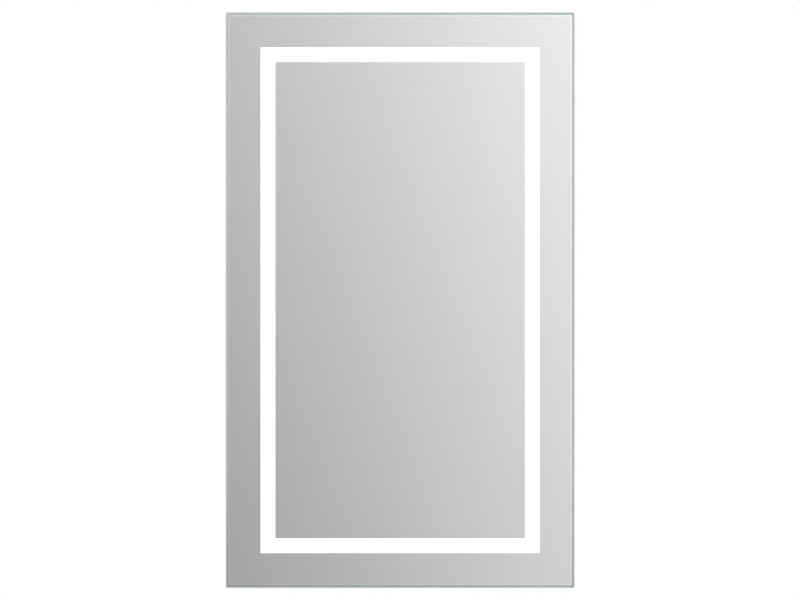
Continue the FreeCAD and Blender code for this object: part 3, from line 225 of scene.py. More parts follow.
# %% Silver and backing paint
def silver_and_backing_paint():
    """Silver towards the glass, with a painted dark line of shade along its rim, and grey paint towards the
    wall.
    """
    material, tree, surface, place = start_material("silver_and_backing_paint")
    depth = add(tree, "ShaderNodeSeparateXYZ", {"Vector": place}).node.outputs["Y"]
    painted = add(tree, "ShaderNodeMath", {0: depth, 1: paint_front}, operation="GREATER_THAN")
    inset = distance_from_edge(tree, place)
    outermost = add(tree, "ShaderNodeMath", {0: inset, 1: painted_shade_edge}, operation="LESS_THAN")
    bright_line = add(tree, "ShaderNodeMath", {0: inset, 1: painted_highlight_edge}, operation="LESS_THAN")
    orange_peel = add(tree, "ShaderNodeTexNoise", {"Vector": place, "Scale": 1 / (3 * mm), "Detail": 3.0})
    paint = add(
        tree, "ShaderNodeMix",
        {MIX_FACTOR: orange_peel, MIX_A: linear("#6C7272"), MIX_B: linear("#7D8382")},
        data_type="RGBA",
    )
    # Within the hair-line the silver's colour is a painted highlight, brighter and bluer than the rest of the
    # film.
    film = add(
        tree, "ShaderNodeMix",
        {MIX_FACTOR: bright_line, MIX_A: linear("#EFEFEF"), MIX_B: linear("#F4F9FA")},
        data_type="RGBA",
    )
    # The outermost line's colour is painted shade: a darker silver, darkest along the foot and on the right.
    dulled = add(
        tree, "ShaderNodeMix",
        {MIX_FACTOR: painted_rim_brightness(tree, place), MIX_A: linear("#9DA3A3"), MIX_B: linear("#E3E7E7")},
        data_type="RGBA",
    )
    front = add(tree, "ShaderNodeMix", {MIX_FACTOR: outermost, MIX_A: film, MIX_B: dulled}, data_type="RGBA")
    colour = add(tree, "ShaderNodeMix", {MIX_FACTOR: painted, MIX_A: front, MIX_B: paint}, data_type="RGBA")
    dull = add(tree, "ShaderNodeMath", {0: outermost, 1: dull_roughness}, operation="MULTIPLY")
    rough = add(
        tree, "ShaderNodeMix", {MIX_FACTOR: painted, MIX_FLOAT_A: dull, MIX_FLOAT_B: paint_roughness},
    )
    metal = add(tree, "ShaderNodeMath", {0: 1.0, 1: painted}, operation="SUBTRACT")
    height = add(tree, "ShaderNodeMath", {0: painted, 1: orange_peel}, operation="MULTIPLY")
    uneven = add(tree, "ShaderNodeBump", {"Height": height, "Distance": 0.1 * mm, "Strength": 0.3})
    join(tree, surface, {"Base Color": colour, "Metallic": metal, "Roughness": rough, "Normal": uneven})
    return material


silver = silver_and_backing_paint()
print("mirror:", silver.name)

# %% [markdown]
# ## Metals
#
# The frame is extruded aluminium: the die leaves faint lines along each bar, and etching and anodising turn
# them satin. So the pattern is noise stretched along the bar, one material for level bars and one for
# upright ones. Real die lines are a few tenths of a millimetre apart and are drawn at about 1.5 mm, so that
# they show. The rails, brackets and wiring box are steel dipped in zinc, whose crystals are the spangle.
# Screws are zinc plated: brighter, bluer and much finer.

# %% Anodised aluminium
def satin_anodised(name, along_x, along_z):
    """Satin anodised aluminium with die lines, whose pattern has one size along X and one along Z."""
    material, tree, surface, place = start_material(name)
    stretch = [1 / along_x, 1 / (2 * mm), 1 / along_z]
    drawn_out = add(tree, "ShaderNodeMapping", {"Vector": place, "Scale": stretch})
    lines = add(tree, "ShaderNodeTexNoise", {"Vector": drawn_out, "Scale": 1.0, "Detail": 4.0})
    clouds = add(tree, "ShaderNodeTexNoise", {"Vector": place, "Scale": 1 / (45 * mm), "Detail": 2.0})
    colour = add(
        tree, "ShaderNodeMix",
        {MIX_FACTOR: lines, MIX_A: linear("#BFC1C3"), MIX_B: linear("#D0D2D3")},
        data_type="RGBA",
    )
    rough = add(tree, "ShaderNodeMapRange", {"Value": clouds, "To Min": 0.3, "To Max": 0.44})
    scored = add(tree, "ShaderNodeBump", {"Height": lines, "Distance": 0.02 * mm, "Strength": 0.5})
    join(tree, surface, {"Base Color": colour, "Metallic": 1.0, "Roughness": rough, "Normal": scored})
    return material


line_length = 180 * mm
line_spacing = 1.5 * mm
level_bar = satin_anodised("satin_anodised_level_bar", along_x=line_length, along_z=line_spacing)
upright_bar = satin_anodised("satin_anodised_upright_bar", along_x=line_spacing, along_z=line_length)
print("aluminium:", level_bar.name, upright_bar.name)


# %% Steel, zinc plate and brass
def spangled_galvanised_steel():
    """Hot-dip zinc: crystals of about 8 mm, each with its own brightness and feathered edges."""
    material, tree, surface, place = start_material("spangled_galvanised_steel")
    skin = add(tree, "ShaderNodeTexNoise", {"Vector": place, "Scale": 1 / (1.2 * mm), "Detail": 3.0})
    feathers = add(
        tree, "ShaderNodeVectorMath",
        {0: skin.node.outputs["Color"], "Scale": 1.5 * mm},
        operation="SCALE",
    )
    feathered = add(tree, "ShaderNodeVectorMath", {0: place, 1: feathers}, operation="ADD")
    crystals = add(tree, "ShaderNodeTexVoronoi", {"Vector": feathered, "Scale": 1 / (8 * mm)})
    tone = add(tree, "ShaderNodeSeparateColor", {"Color": crystals.node.outputs["Color"]})
    colour = add(
        tree, "ShaderNodeMix",
        {MIX_FACTOR: tone, MIX_A: linear("#A9AEB0"), MIX_B: linear("#C6CACC")},
        data_type="RGBA",
    )
    rough = add(tree, "ShaderNodeMapRange", {"Value": tone, "To Min": 0.32, "To Max": 0.5})
    dulled = add(tree, "ShaderNodeBump", {"Height": skin, "Distance": 0.03 * mm, "Strength": 0.35})
    join(tree, surface, {"Base Color": colour, "Metallic": 1.0, "Roughness": rough, "Normal": dulled})
    return material


def zinc_plate():
    """Bright zinc plate, passivated blue, with the fine dull spots that tumbling leaves."""
    material, tree, surface, place = start_material("zinc_plate")
    spots = add(tree, "ShaderNodeTexNoise", {"Vector": place, "Scale": 1 / (0.7 * mm), "Detail": 3.0})
    colour = add(
        tree, "ShaderNodeMix",
        {MIX_FACTOR: spots, MIX_A: linear("#B4BAC4"), MIX_B: linear("#D2D6DC")},
        data_type="RGBA",
    )
    rough = add(tree, "ShaderNodeMapRange", {"Value": spots, "To Min": 0.2, "To Max": 0.38})
    join(tree, surface, {"Base Color": colour, "Metallic": 1.0, "Roughness": rough})
    return material


def tin_washed_brass():
    """Turned brass under a thin wash of tin, rubbed through in places."""
    material, tree, surface, place = start_material("tin_washed_brass")
    worn = add(tree, "ShaderNodeTexNoise", {"Vector": place, "Scale": 1 / (1.5 * mm), "Detail": 4.0})
    colour = add(
        tree, "ShaderNodeMix",
        {MIX_FACTOR: worn, MIX_A: linear("#C9A85A"), MIX_B: linear("#D8CBA4")},
        data_type="RGBA",
    )
    rough = add(tree, "ShaderNodeMapRange", {"Value": worn, "To Min": 0.22, "To Max": 0.4})
    join(tree, surface, {"Base Color": colour, "Metallic": 1.0, "Roughness": rough})
    return material


galvanised, zinc, brass = spangled_galvanised_steel(), zinc_plate(), tin_washed_brass()
print("other metals:", galvanised.name, zinc.name, brass.name)

# %% [markdown]
# ## The powder-coated cover
#
# The back cover and its access plate are sheet steel with a fine-texture powder coat: pale grey, matt, with
# an even grain of about half a millimetre that the powder forms as it melts in the oven. The grain is drawn
# at 1.1 mm. A slow variation in tone, some centimetres across, stands for the uneven thickness of the coat.

# %% Powder coat material
def fine_texture_powder_coat():
    """Matt, hard and finely pebbled."""
    material, tree, surface, place = start_material("fine_texture_powder_coat")
    grain = add(tree, "ShaderNodeTexNoise", {"Vector": place, "Scale": 1 / (1.1 * mm), "Detail": 3.0})
    drift = add(tree, "ShaderNodeTexNoise", {"Vector": place, "Scale": 1 / (70 * mm), "Detail": 3.0})
    both = add(tree, "ShaderNodeMath", {0: grain, 1: drift}, operation="ADD")
    tone = add(tree, "ShaderNodeMath", {0: both, 1: 0.5}, operation="MULTIPLY")
    colour = add(
        tree, "ShaderNodeMix",
        {MIX_FACTOR: tone, MIX_A: linear("#B7B7B6"), MIX_B: linear("#D1D1D0")},
        data_type="RGBA",
    )
    pebbled = add(tree, "ShaderNodeBump", {"Height": grain, "Distance": 0.25 * mm, "Strength": 0.9})
    join(tree, surface, {"Base Color": colour, "Roughness": 0.5, "Normal": pebbled})
    return material


powder_coat = fine_texture_powder_coat()
print("cover:", powder_coat.name)

# %% [markdown]
# ## Plastics, rubber and boards
#
# Most of these pieces are moulded, and a moulding copies its mould: a polished mould gives gloss, a
# spark-eroded one gives a fine even texture. They differ in colour, in gloss and in the grain's size, so
# one function makes them all, and each call says what the real material is. Leads are extruded, so their
# grain is very fine and their gloss is a little uneven.

# %% Moulded and extruded materials
def moulded(name, dark, pale, grain, depth, dull, glossy, glow=0.0):
    """A plastic or rubber between two close tones, with a grain of that size and depth."""
    material, tree, surface, place = start_material(name)
    fine = add(tree, "ShaderNodeTexNoise", {"Vector": place, "Scale": 1 / grain, "Detail": 3.0})
    slow = add(tree, "ShaderNodeTexNoise", {"Vector": place, "Scale": 1 / (18 * mm), "Detail": 2.0})
    colour = add(
        tree, "ShaderNodeMix", {MIX_FACTOR: slow, MIX_A: linear(dark), MIX_B: linear(pale)}, data_type="RGBA",
    )
    rough = add(tree, "ShaderNodeMapRange", {"Value": fine, "To Min": glossy, "To Max": dull})
    textured = add(tree, "ShaderNodeBump", {"Height": fine, "Distance": depth, "Strength": 0.5})
    join(tree, surface, {
        "Base Color": colour, "Roughness": rough, "Normal": textured, "Subsurface Weight": glow,
        "Subsurface Radius": (1.0, 1.0, 1.0), "Subsurface Scale": 1.5 * mm,
    })
    return material


# The numbers are the grain's size and depth, and the roughness where it is dull and where it is glossy.
rubber = moulded("moulded_black_rubber", "#1C1C1C", "#2A2A2B", 0.9 * mm, 0.06 * mm, 0.62, 0.45)
rocker_abs = moulded("polished_white_abs", "#ECECE9", "#F4F4F1", 2.5 * mm, 0.01 * mm, 0.28, 0.18)
housing_abs = moulded("spark_textured_white_abs", "#E6E6E3", "#EFEFEC", 0.6 * mm, 0.05 * mm, 0.55, 0.4)
polyamide = moulded(
    "moulded_white_polyamide", "#E6E2D3", "#F0EDE0", 0.8 * mm, 0.03 * mm, 0.5, 0.35, glow=0.15,
)
polycarbonate = moulded("moulded_white_polycarbonate", "#E3E3E0", "#ECECEA", 0.7 * mm, 0.05 * mm, 0.6, 0.45)
foam = moulded("slit_closed_cell_foam", "#C9C9C5", "#DDDDD8", 0.7 * mm, 0.2 * mm, 0.95, 0.8)
component = moulded("moulded_component", "#1E1E20", "#2E2E31", 0.8 * mm, 0.04 * mm, 0.5, 0.3)
solder_mask = moulded(
    "screen_printed_white_solder_mask", "#ECEDEA", "#F5F6F3", 1.5 * mm, 0.02 * mm, 0.4, 0.25,
)
sheath = moulded("white_extruded_pvc", "#E2E2DF", "#EDEDEA", 1.2 * mm, 0.02 * mm, 0.5, 0.36)
brown_pvc = moulded("brown_extruded_pvc", "#4E2E1A", "#5C3820", 1.0 * mm, 0.01 * mm, 0.4, 0.25)
blue_pvc = moulded("blue_extruded_pvc", "#1B4C97", "#2257A6", 1.0 * mm, 0.01 * mm, 0.4, 0.25)
black_pvc = moulded("black_extruded_pvc", "#141414", "#1E1E1F", 1.0 * mm, 0.01 * mm, 0.4, 0.25)
red_pvc = moulded("red_extruded_pvc", "#9C1517", "#AE1D1E", 1.0 * mm, 0.01 * mm, 0.4, 0.25)
print("moulded and extruded:", rubber.name, rocker_abs.name, polyamide.name, sheath.name, "and nine more")

# %% [markdown]
# The driver's circuit board is green glass-epoxy. Its copper tracks show as paler paths under the green
# mask, so a grid of narrow cells at the pitch of real tracks, 2.54 mm, stands for them. The diodes are small
# cups filled with yellow phosphor, so a grainy yellow is what is seen of them. The diffusers are milky
# acrylic. It spreads the diodes' light so well that the whole strip glows, and so it is given a glow.

# %% Board, diode and diffuser materials
def glass_epoxy_board():
    """Green solder mask over copper tracks."""
    material, tree, surface, place = start_material("glass_epoxy_board")
    pitch = 2.54 * mm
    turned = add(tree, "ShaderNodeMapping", {"Vector": place, "Rotation": (math.pi / 2, 0, 0)})
    tracks = add(
        tree, "ShaderNodeTexBrick",
        {
            "Vector": turned, "Scale": 1.0, "Brick Width": 7 * pitch, "Row Height": pitch,
            "Mortar Size": 0.28 * pitch, "Color1": linear("#1F6A3A"), "Color2": linear("#277A45"),
            "Mortar": linear("#14512B"),
        },
        offset=0.37,
    )
    weave = add(tree, "ShaderNodeTexNoise", {"Vector": place, "Scale": 1 / (0.9 * mm), "Detail": 2.0})
    rough = add(tree, "ShaderNodeMapRange", {"Value": weave, "To Min": 0.25, "To Max": 0.42})
    join(tree, surface, {"Base Color": tracks, "Roughness": rough})
    return material


def phosphor_diode():
    """The grainy yellow phosphor that fills a diode's cup."""
    material, tree, surface, place = start_material("phosphor_diode")
    grain = add(tree, "ShaderNodeTexNoise", {"Vector": place, "Scale": 1 / (0.8 * mm), "Detail": 2.0})
    colour = add(
        tree, "ShaderNodeMix",
        {MIX_FACTOR: grain, MIX_A: linear("#EBD67A"), MIX_B: linear("#F7EDB8")},
        data_type="RGBA",
    )
    join(tree, surface, {"Base Color": colour, "Roughness": 0.35})
    return material


def lit_opal_acrylic():
    """Milky acrylic with the diodes' light behind it."""
    material, tree, surface, place = start_material("lit_opal_acrylic")
    milk = add(tree, "ShaderNodeTexNoise", {"Vector": place, "Scale": 1 / (12 * mm), "Detail": 2.0})
    colour = add(
        tree, "ShaderNodeMix",
        {MIX_FACTOR: milk, MIX_A: linear("#F1F1EE"), MIX_B: linear("#F8F8F6")},
        data_type="RGBA",
    )
    join(tree, surface, {
        "Base Color": colour, "Roughness": 0.45,
        "Emission Color": WHITE, "Emission Strength": 1.3,
    })
    return material


board, diode, opal = glass_epoxy_board(), phosphor_diode(), lit_opal_acrylic()
print("boards and lights:", board.name, diode.name, opal.name)

# %% [markdown]
# ## Give every piece of the model its finish
#
# The table says which pieces take which finish. A piece that is reshaped further down keeps its finish. Only
# the glass pane has three finishes, and it gets them when it is rebuilt.

# %% Finish the model's own pieces
SIDES = ("top", "bottom", "left", "right")
finishes = {
    silver: ["silvering_border", "silvering_centre"],
    level_bar: ["frame_rail_top", "frame_rail_bottom"],
    upright_bar: ["frame_rail_left", "frame_rail_right"],
    galvanised: ["wall_rail", "hanger_rail", "corner_brackets", "wiring_box"],
    zinc: [
        "hanger_screws", "corner_screws", "back_cover_screws", "access_plate_screws", "terminal_block_screws",
        "cable_clamp_screws", "driver_screws",
    ],
    brass: ["terminal_clamp_screws", "earth_stud", "earth_nut_and_washer", "switch_terminals"],
    powder_coat: ["back_cover", "access_plate"],
    rubber: ["wall_bumpers", "inlet_grommet", "lead_bushes"],
    rocker_abs: ["rocker"],
    housing_abs: ["switch_housing"],
    polyamide: ["terminal_block", "cable_clamp", "light_connector", "lead_clips"],
    polycarbonate: ["driver_case", "driver_lid"],
    foam: ["mounting_tape", "board_tape"],
    component: ["driver_components"],
    board: ["driver_board"],
    solder_mask: [f"light_board_{side}" for side in SIDES],
    diode: [f"light_chips_{side}" for side in SIDES],
    opal: [f"diffuser_{side}" for side in SIDES],
    sheath: ["supply_lead", "switch_lead", "light_lead"],
    brown_pvc: ["line_cores", "switch_cores"],
    blue_pvc: ["neutral_core"],
    black_pvc: ["switched_cores", "jumper_leads_negative"],
    red_pvc: ["jumper_leads_positive"],
}
for material, names in finishes.items():
    for name in names:
        cad[name].data.materials.clear()
        cad[name].data.materials.append(material)
remaining = sorted(set(cad) - {name for names in finishes.values() for name in names})
print("finished", len(cad) - len(remaining), "pieces; still to be rebuilt:", remaining)

# %% [markdown]
# ## The pane
#
# The pane is rebuilt so that its polished edge is smooth and its sandblasted band is a surface of its own.
# It starts as a cube: its four corners are rounded first, then the front and back rims get the pencil edge.
# Four pairs of cuts mark the band, and the band is pressed in by the depth of the sandblasting. The flat
# faces stay flat shaded, so that the mirror image isn't bent by the rounded rim's normals.
#
# The pane stops a fiftieth of a millimetre short of the silver. Two surfaces in exactly the same plane
# would flicker between glass and silver when light is traced.

# %% Sizes of the pane
centre_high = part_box("silvering_centre")[1]
band_width = 25 * mm
corner_radius = 2.6 * mm
edge_radius = 2.2 * mm
silver_gap = 0.02 * mm
frost_depth = 0.15 * mm
print("pane", [round(v / mm, 1) for v in pane_high - pane_low], "mm")
print("inner edge of the band at x =", round(centre_high.x / mm, 1), "mm")


# %% Three helpers for new pieces
FLAT = 0.99999                              # how nearly a flat face's normal lies along an axis


def finish_piece(name, bm, materials, body, slot, *stands_for):
    """Makes an object of a bmesh, lets it ride on a body, and hides the model's piece that it stands for."""
    mesh = bpy.data.meshes.new(name)
    bm.to_mesh(mesh)
    bm.free()
    for material in materials:
        mesh.materials.append(material)
    piece = bpy.data.objects.new(name, mesh)
    bpy.context.scene.collection.objects.link(piece)
    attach(piece, body)
    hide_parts(*stands_for)
    return piece


def smooth_round_faces(bm, sharp_degrees=30, large=20 * mm * mm):
    """Shades curved faces smooth, keeps large flat ones flat, and marks the sharp edges."""
    for edge in bm.edges:
        edge.smooth = len(edge.link_faces) == 2 and edge.calc_face_angle(0) < math.radians(sharp_degrees)
    for face in bm.faces:
        straight = max(abs(value) for value in face.normal) > FLAT
        face.smooth = not (straight and face.calc_area() > large)


def round_off(bm, edges, radius, segments=3):
    """Rounds edges with a bevel of that radius."""
    bmesh.ops.bevel(
        bm, geom=edges, offset=radius, segments=segments, profile=0.5, affect="EDGES", material=-1,
    )


# %% Round the slab of glass
slab_rear = pane_high.y - silver_gap
slab_size = Vector((pane_high.x - pane_low.x, slab_rear - pane_low.y, pane_high.z - pane_low.z))
slab_middle = Vector((0, (slab_rear + pane_low.y) / 2, (pane_low.z + pane_high.z) / 2))
slab = bmesh.new()
bmesh.ops.create_cube(slab, size=1)
bmesh.ops.scale(slab, vec=slab_size, verts=slab.verts)
bmesh.ops.translate(slab, vec=slab_middle, verts=slab.verts)
corners = [e for e in slab.edges if abs(e.verts[0].co.y - e.verts[1].co.y) > slab_size.y / 2]
round_off(slab, corners, corner_radius, segments=8)
rims = [e for e in slab.edges if abs(e.verts[0].co.y - e.verts[1].co.y) < slab_size.y / 2]
round_off(slab, rims, edge_radius, segments=8)
print("rounded slab:", len(slab.faces), "faces")

# %% Cut along both edges of the band
band_across = (centre_high.x, centre_high.x + band_width)
band_up = (centre_high.z - slab_middle.z, centre_high.z - slab_middle.z + band_width)
for axis, (inner, outer) in ((Vector((1, 0, 0)), band_across), (Vector((0, 0, 1)), band_up)):
    for distance in (-outer, -inner, inner, outer):
        everything = slab.verts[:] + slab.edges[:] + slab.faces[:]
        bmesh.ops.bisect_plane(
            slab, geom=everything, plane_co=slab_middle + axis * distance, plane_no=axis, dist=1e-7,
        )
print("slab with the band marked out:", len(slab.faces), "faces")

# %% Frost the band and press it in
pane_finishes = [glass, frosted, edge_glass]
band_faces = []
for face in slab.faces:
    if abs(face.normal.y) < FLAT:
        face.material_index = pane_finishes.index(edge_glass)
    spot = face.calc_center_median() - slab_middle
    within_outer = abs(spot.x) < band_across[1] and abs(spot.z) < band_up[1]
    within_inner = abs(spot.x) < band_across[0] and abs(spot.z) < band_up[0]
    if face.normal.y > FLAT and within_outer and not within_inner:
        face.material_index = pane_finishes.index(frosted)
        band_faces.append(face)
pressed = bmesh.ops.extrude_face_region(slab, geom=band_faces)["geom"]
pressed_verts = [item for item in pressed if isinstance(item, bmesh.types.BMVert)]
bmesh.ops.translate(slab, vec=(0, -frost_depth, 0), verts=pressed_verts)
bmesh.ops.delete(slab, geom=band_faces, context="FACES")
bmesh.ops.recalc_face_normals(slab, faces=slab.faces)
smooth_round_faces(slab)
frosted_count = sum(face.material_index == pane_finishes.index(frosted) for face in slab.faces)
open_edges = sum(not e.is_manifold for e in slab.edges)
pane = finish_piece("polished_pane", slab, pane_finishes, "mirror", "float_glass", "glass_pane")
print("pane:", len(pane.data.polygons), "faces,", frosted_count, "of them frosted,", open_edges, "open edges")

# %% [markdown]
# ## Softened edges
#
# The mechanical model has knife-sharp edges, which no made thing has: sheet steel is deburred, a die rounds
# an extrusion, and a mould has no perfect corners. The thin bright line along each edge is what tells the
# eye that a thing is solid. So the pieces that show get a finer copy. Its loose triangles are merged first,
# and flat areas are joined into whole faces, because a bevel needs to know where one face ends and the next
# begins. Then its sharp edges are rounded by what its process leaves: about a fifth of a millimetre on sheet
# and on an extrusion, and a little more on a moulding.

# %% Helpers for softened copies
def merged_copy(name):
    """The mesh of one of the model's pieces, as closed solids with whole flat faces."""
    bm = bmesh.new()
    bm.from_mesh(cad[name].data)
    bmesh.ops.remove_doubles(bm, verts=bm.verts, dist=0.001 * mm)
    bmesh.ops.dissolve_limit(
        bm, angle_limit=math.radians(0.5), verts=bm.verts, edges=bm.edges, delimit={"NORMAL"},
    )
    return bm


def edges_between(bm, least, most=180):
    """The edges where the surface turns by more than one angle and less than another, in degrees."""
    return [e for e in bm.edges if least < math.degrees(e.calc_face_angle(0)) < most]


def finish_softened(name, bm, slot, body):
    """Shades a reworked copy and lets it stand for the piece that it was copied from."""
    smooth_round_faces(bm)
    faces, loose = len(bm.faces), sum(not e.is_manifold for e in bm.edges)
    piece = finish_piece("softened_" + name, bm, [cad[name].data.materials[0]], body, slot, name)
    print(piece.name, "has", faces, "faces and", loose, "open edges")
    return piece


# %% Soften the extrusions, the access plate and the switch
# The numbers are the radii of the roundings, in millimetres.
softened_pieces = [
    ("frame_rail_left", 0.2, "anodised_aluminium", "mirror"),
    ("frame_rail_right", 0.2, "anodised_aluminium", "mirror"),
    ("frame_rail_top", 0.15, "anodised_aluminium", "mirror"),
    ("frame_rail_bottom", 0.2, "anodised_aluminium", "mirror"),
    ("access_plate", 0.25, "powder_coated_steel", "mirror"),
    ("switch_housing", 0.3, "white_abs", "mirror"),
    ("rocker", 0.4, "white_abs", "rocker"),
]
for name, radius, slot, body in softened_pieces:
    copy = merged_copy(name)
    round_off(copy, edges_between(copy, least=35), radius * mm)
    finish_softened(name, copy, slot, body)

# %% [markdown]
# ## The pressed back cover
#
# Four beads are pressed into the cover to stiffen it. Steel can't be pressed to a sharp corner: it draws
# over the tool in a soft S. The model's beads have plain sloping walls, so the edges where those slopes
# begin and end, which turn by about 45 degrees, are rounded by nearly half the bead's depth. The sheet's
# cut edges turn by 90 degrees, and are only deburred and coated.

# %% Rebuild the back cover
bead_rounding = 0.85 * mm
cut_edge_rounding = 0.2 * mm
cover = merged_copy("back_cover")
bead_rims = edges_between(cover, least=30, most=60)
print(len(bead_rims), "edges round the four beads, on both faces of the sheet")
round_off(cover, bead_rims, bead_rounding, segments=4)
round_off(cover, edges_between(cover, least=70), cut_edge_rounding, segments=2)
finish_softened("back_cover", cover, "powder_coated_steel", "mirror")

# %% [markdown]
# ## The folded hanging rails
#
# Each hanging rail is a strip of 2 mm galvanised steel, folded twice on a press brake. A fold has a small
# radius inside and that radius plus the strip's thickness outside. In the model both are sharp: the inner
# corner is a hollow edge along the rail, and the outer one lies a thickness away from it both ways, which is
# 1.41 thicknesses.

# %% Rebuild the hanging rails
strip_thickness = 2.0 * mm
inner_fold = 0.5 * mm
strip_edge_rounding = 0.3 * mm
across_a_fold = 1.6 * strip_thickness
least_long_edge = 100 * mm


def long_edges(bm, hollow):
    """The sharp edges along the rail, either hollow or proud."""
    sharp = edges_between(bm, least=60)
    along = [e for e in sharp if abs(e.verts[0].co.x - e.verts[1].co.x) > least_long_edge]
    return [e for e in along if e.is_convex != hollow]


def folded_rail(name, body):
    """Rounds a rail's folds outside and inside, and then its cut edges."""
    bm = merged_copy(name)
    hollows = [e.verts[0].co.yz for e in long_edges(bm, hollow=True)]
    outer = [
        e for e in long_edges(bm, hollow=False)
        if min((e.verts[0].co.yz - hollow).length for hollow in hollows) < across_a_fold
    ]
    round_off(bm, outer, inner_fold + strip_thickness, segments=6)
    round_off(bm, long_edges(bm, hollow=True), inner_fold, segments=3)
    round_off(bm, edges_between(bm, least=60), strip_edge_rounding, segments=2)
    return finish_softened(name, bm, "galvanised_steel", body)


folded_rail("hanger_rail", "mirror")
folded_rail("wall_rail", "wall_rail")

# %% [markdown]
# ## Turned rubber pieces
#
# The bumpers and the cable inlet's grommet are moulded in round moulds, so each is a profile turned about
# its axis. The profile is drawn as points of radius and depth in millimetres, spun a full turn, and its rims
# are rounded. The bumpers have a shallow dimple in the face that meets the wall, which grips it. The grommet
# has a deep groove that the access plate sits in, and a wide soft mouth that can't cut the supply cable.

# %% Helpers for turned pieces
def circle_at(bm, radius, depth, near=0.01 * mm):
    """The edges whose two ends both lie at that radius and depth, in metres."""
    return [
        e for e in bm.edges
        if all(abs(v.co.xz.length - radius) < near and abs(v.co.y - depth) < near for v in e.verts)
    ]


def turned(profile, centre, rims, steps=48, closed=False):
    """Spins (radius, depth) points round an axis along Y, then rounds the rims named by their point."""
    bm = bmesh.new()
    verts = [bm.verts.new((radius * mm, depth * mm, 0)) for radius, depth in profile]
    following = verts[1:] + verts[:1] if closed else verts[1:]
    edges = [bm.edges.new(pair) for pair in zip(verts, following)]
    bmesh.ops.spin(
        bm, geom=verts + edges, cent=(0, 0, 0), axis=(0, 1, 0), angle=2 * math.pi, steps=steps,
        use_merge=True,
    )
    bmesh.ops.remove_doubles(bm, verts=bm.verts, dist=0.001 * mm)
    bmesh.ops.recalc_face_normals(bm, faces=bm.faces)
    for (radius, depth), rounding in rims.items():
        round_off(bm, circle_at(bm, radius * mm, depth * mm), rounding * mm, segments=4)
    bmesh.ops.translate(bm, vec=centre, verts=bm.verts)
    smooth_round_faces(bm, large=500 * mm * mm)
    return bm


# %% Bumpers
dimple_rim, dimple_floor, dimple_depth = 1.9, 1.5, 0.35


def build_bumpers():
    """Both bumpers in one mesh, as wide and as thick as the model's."""
    low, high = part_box("wall_bumpers")
    radius, thickness = (high.z - low.z) / 2 / mm, (high.y - low.y) / mm
    profile = [
        (0, -thickness), (radius, -thickness), (radius, 0),
        (dimple_rim, 0), (dimple_floor, -dimple_depth), (0, -dimple_depth),
    ]
    rims = {(radius, 0): 0.8, (radius, -thickness): 0.15, (dimple_rim, 0): 0.15}
    bm = bmesh.new()
    for x in (low.x + radius * mm, high.x - radius * mm):
        one = turned(profile, (x, high.y, (low.z + high.z) / 2), rims)
        mesh = bpy.data.meshes.new("bumper_part")
        one.to_mesh(mesh)
        one.free()
        bm.from_mesh(mesh)
        bpy.data.meshes.remove(mesh)
    return bm


bumpers = finish_piece(
    "moulded_wall_bumpers", build_bumpers(), [rubber], "mirror", "black_rubber", "wall_bumpers",
)
print("bumpers:", len(bumpers.data.polygons), "faces")

# %% Grommet
lip_radius, inner_lip_radius, neck_radius, bore_radius = 11.0, 10.0, 7.8, 5.0
grommet_low, grommet_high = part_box("inlet_grommet")
plate_low, plate_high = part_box("access_plate")
mouth, inner_end = grommet_high.y / mm, grommet_low.y / mm
plate_front, plate_rear = plate_low.y / mm, plate_high.y / mm
grommet_profile = [
    (bore_radius, inner_end), (inner_lip_radius, inner_end), (inner_lip_radius, plate_front),
    (neck_radius, plate_front), (neck_radius, plate_rear), (lip_radius, plate_rear), (lip_radius, mouth),
    (bore_radius, mouth),
]
grommet_rims = {
    (lip_radius, mouth): 1.3, (lip_radius, plate_rear): 0.3, (inner_lip_radius, inner_end): 1.0,
    (inner_lip_radius, plate_front): 0.3, (bore_radius, mouth): 1.2, (bore_radius, inner_end): 0.6,
}
grommet_middle = (grommet_low + grommet_high) / 2
grommet_mesh = turned(
    grommet_profile, (grommet_middle.x, 0, grommet_middle.z), grommet_rims, steps=56, closed=True,
)
grommet = finish_piece(
    "moulded_inlet_grommet", grommet_mesh, [rubber], "mirror", "black_rubber", "inlet_grommet",
)
print("grommet:", len(grommet.data.polygons), "faces, from y =", inner_end, "to", mouth, "mm")

# %% [markdown]
# ## The camera
#
# The photograph looks straight at the mirror from far away, as none of its sides shows. A long lens at ten
# metres gives that. Its length follows from the pane's real width and the width that it takes up in a picture
# 800 pixels wide.

# %% Camera
picture_width = 800
picture_middle = Vector((400.0, 300.0))
pane_middle_px = Vector((400.15, 300.2))
pane_width_px = 348.8
camera_distance = 10.0
sensor_width = 36.0

pane_size = pane_high - pane_low
pixels_per_metre = pane_width_px / pane_size.x
offset = (pane_middle_px - picture_middle) / pixels_per_metre

camera_data = bpy.data.cameras.new("photo_camera")
camera_data.sensor_width = sensor_width
camera_data.lens = sensor_width * pixels_per_metre * camera_distance / picture_width
camera_data.clip_end = 200
camera = bpy.data.objects.new("photo_camera", camera_data)
camera.location = (
    (pane_low.x + pane_high.x) / 2 - offset.x,
    pane_low.y - camera_distance,
    (pane_low.z + pane_high.z) / 2 + offset.y,
)
camera.rotation_euler = (math.radians(90), 0, 0)
bpy.context.scene.collection.objects.link(camera)
bpy.context.scene.camera = camera
print("lens", round(camera_data.lens, 1), "mm")

# %% [markdown]
# ## What the mirror sees
#
# A mirror has no colour of its own: its look is the room in front of it. The photograph shows a plain grey
# that brightens from the lower left to the upper right. Seen straight on through a long lens, a mirror shows
# only a few degrees of the room, so that slope is one flank of a wide soft light. The studio is therefore a
# row of soft strip lights in front of the mirror, written as two waves, one across and one up and down.
# The main view falls on their steep part, and any other view finds a slope of its own.
#
# Behind the mirror the studio is pale, and polished metal finds a few fainter waves there. The camera sees
# plain white everywhere, and so does glass that is looked through. Matt surfaces are lit by an even, weaker
# white, a little stronger from above. All of it depends on the direction alone.

# %% Helpers for the surroundings
SCREEN_GAMMA = 2.2


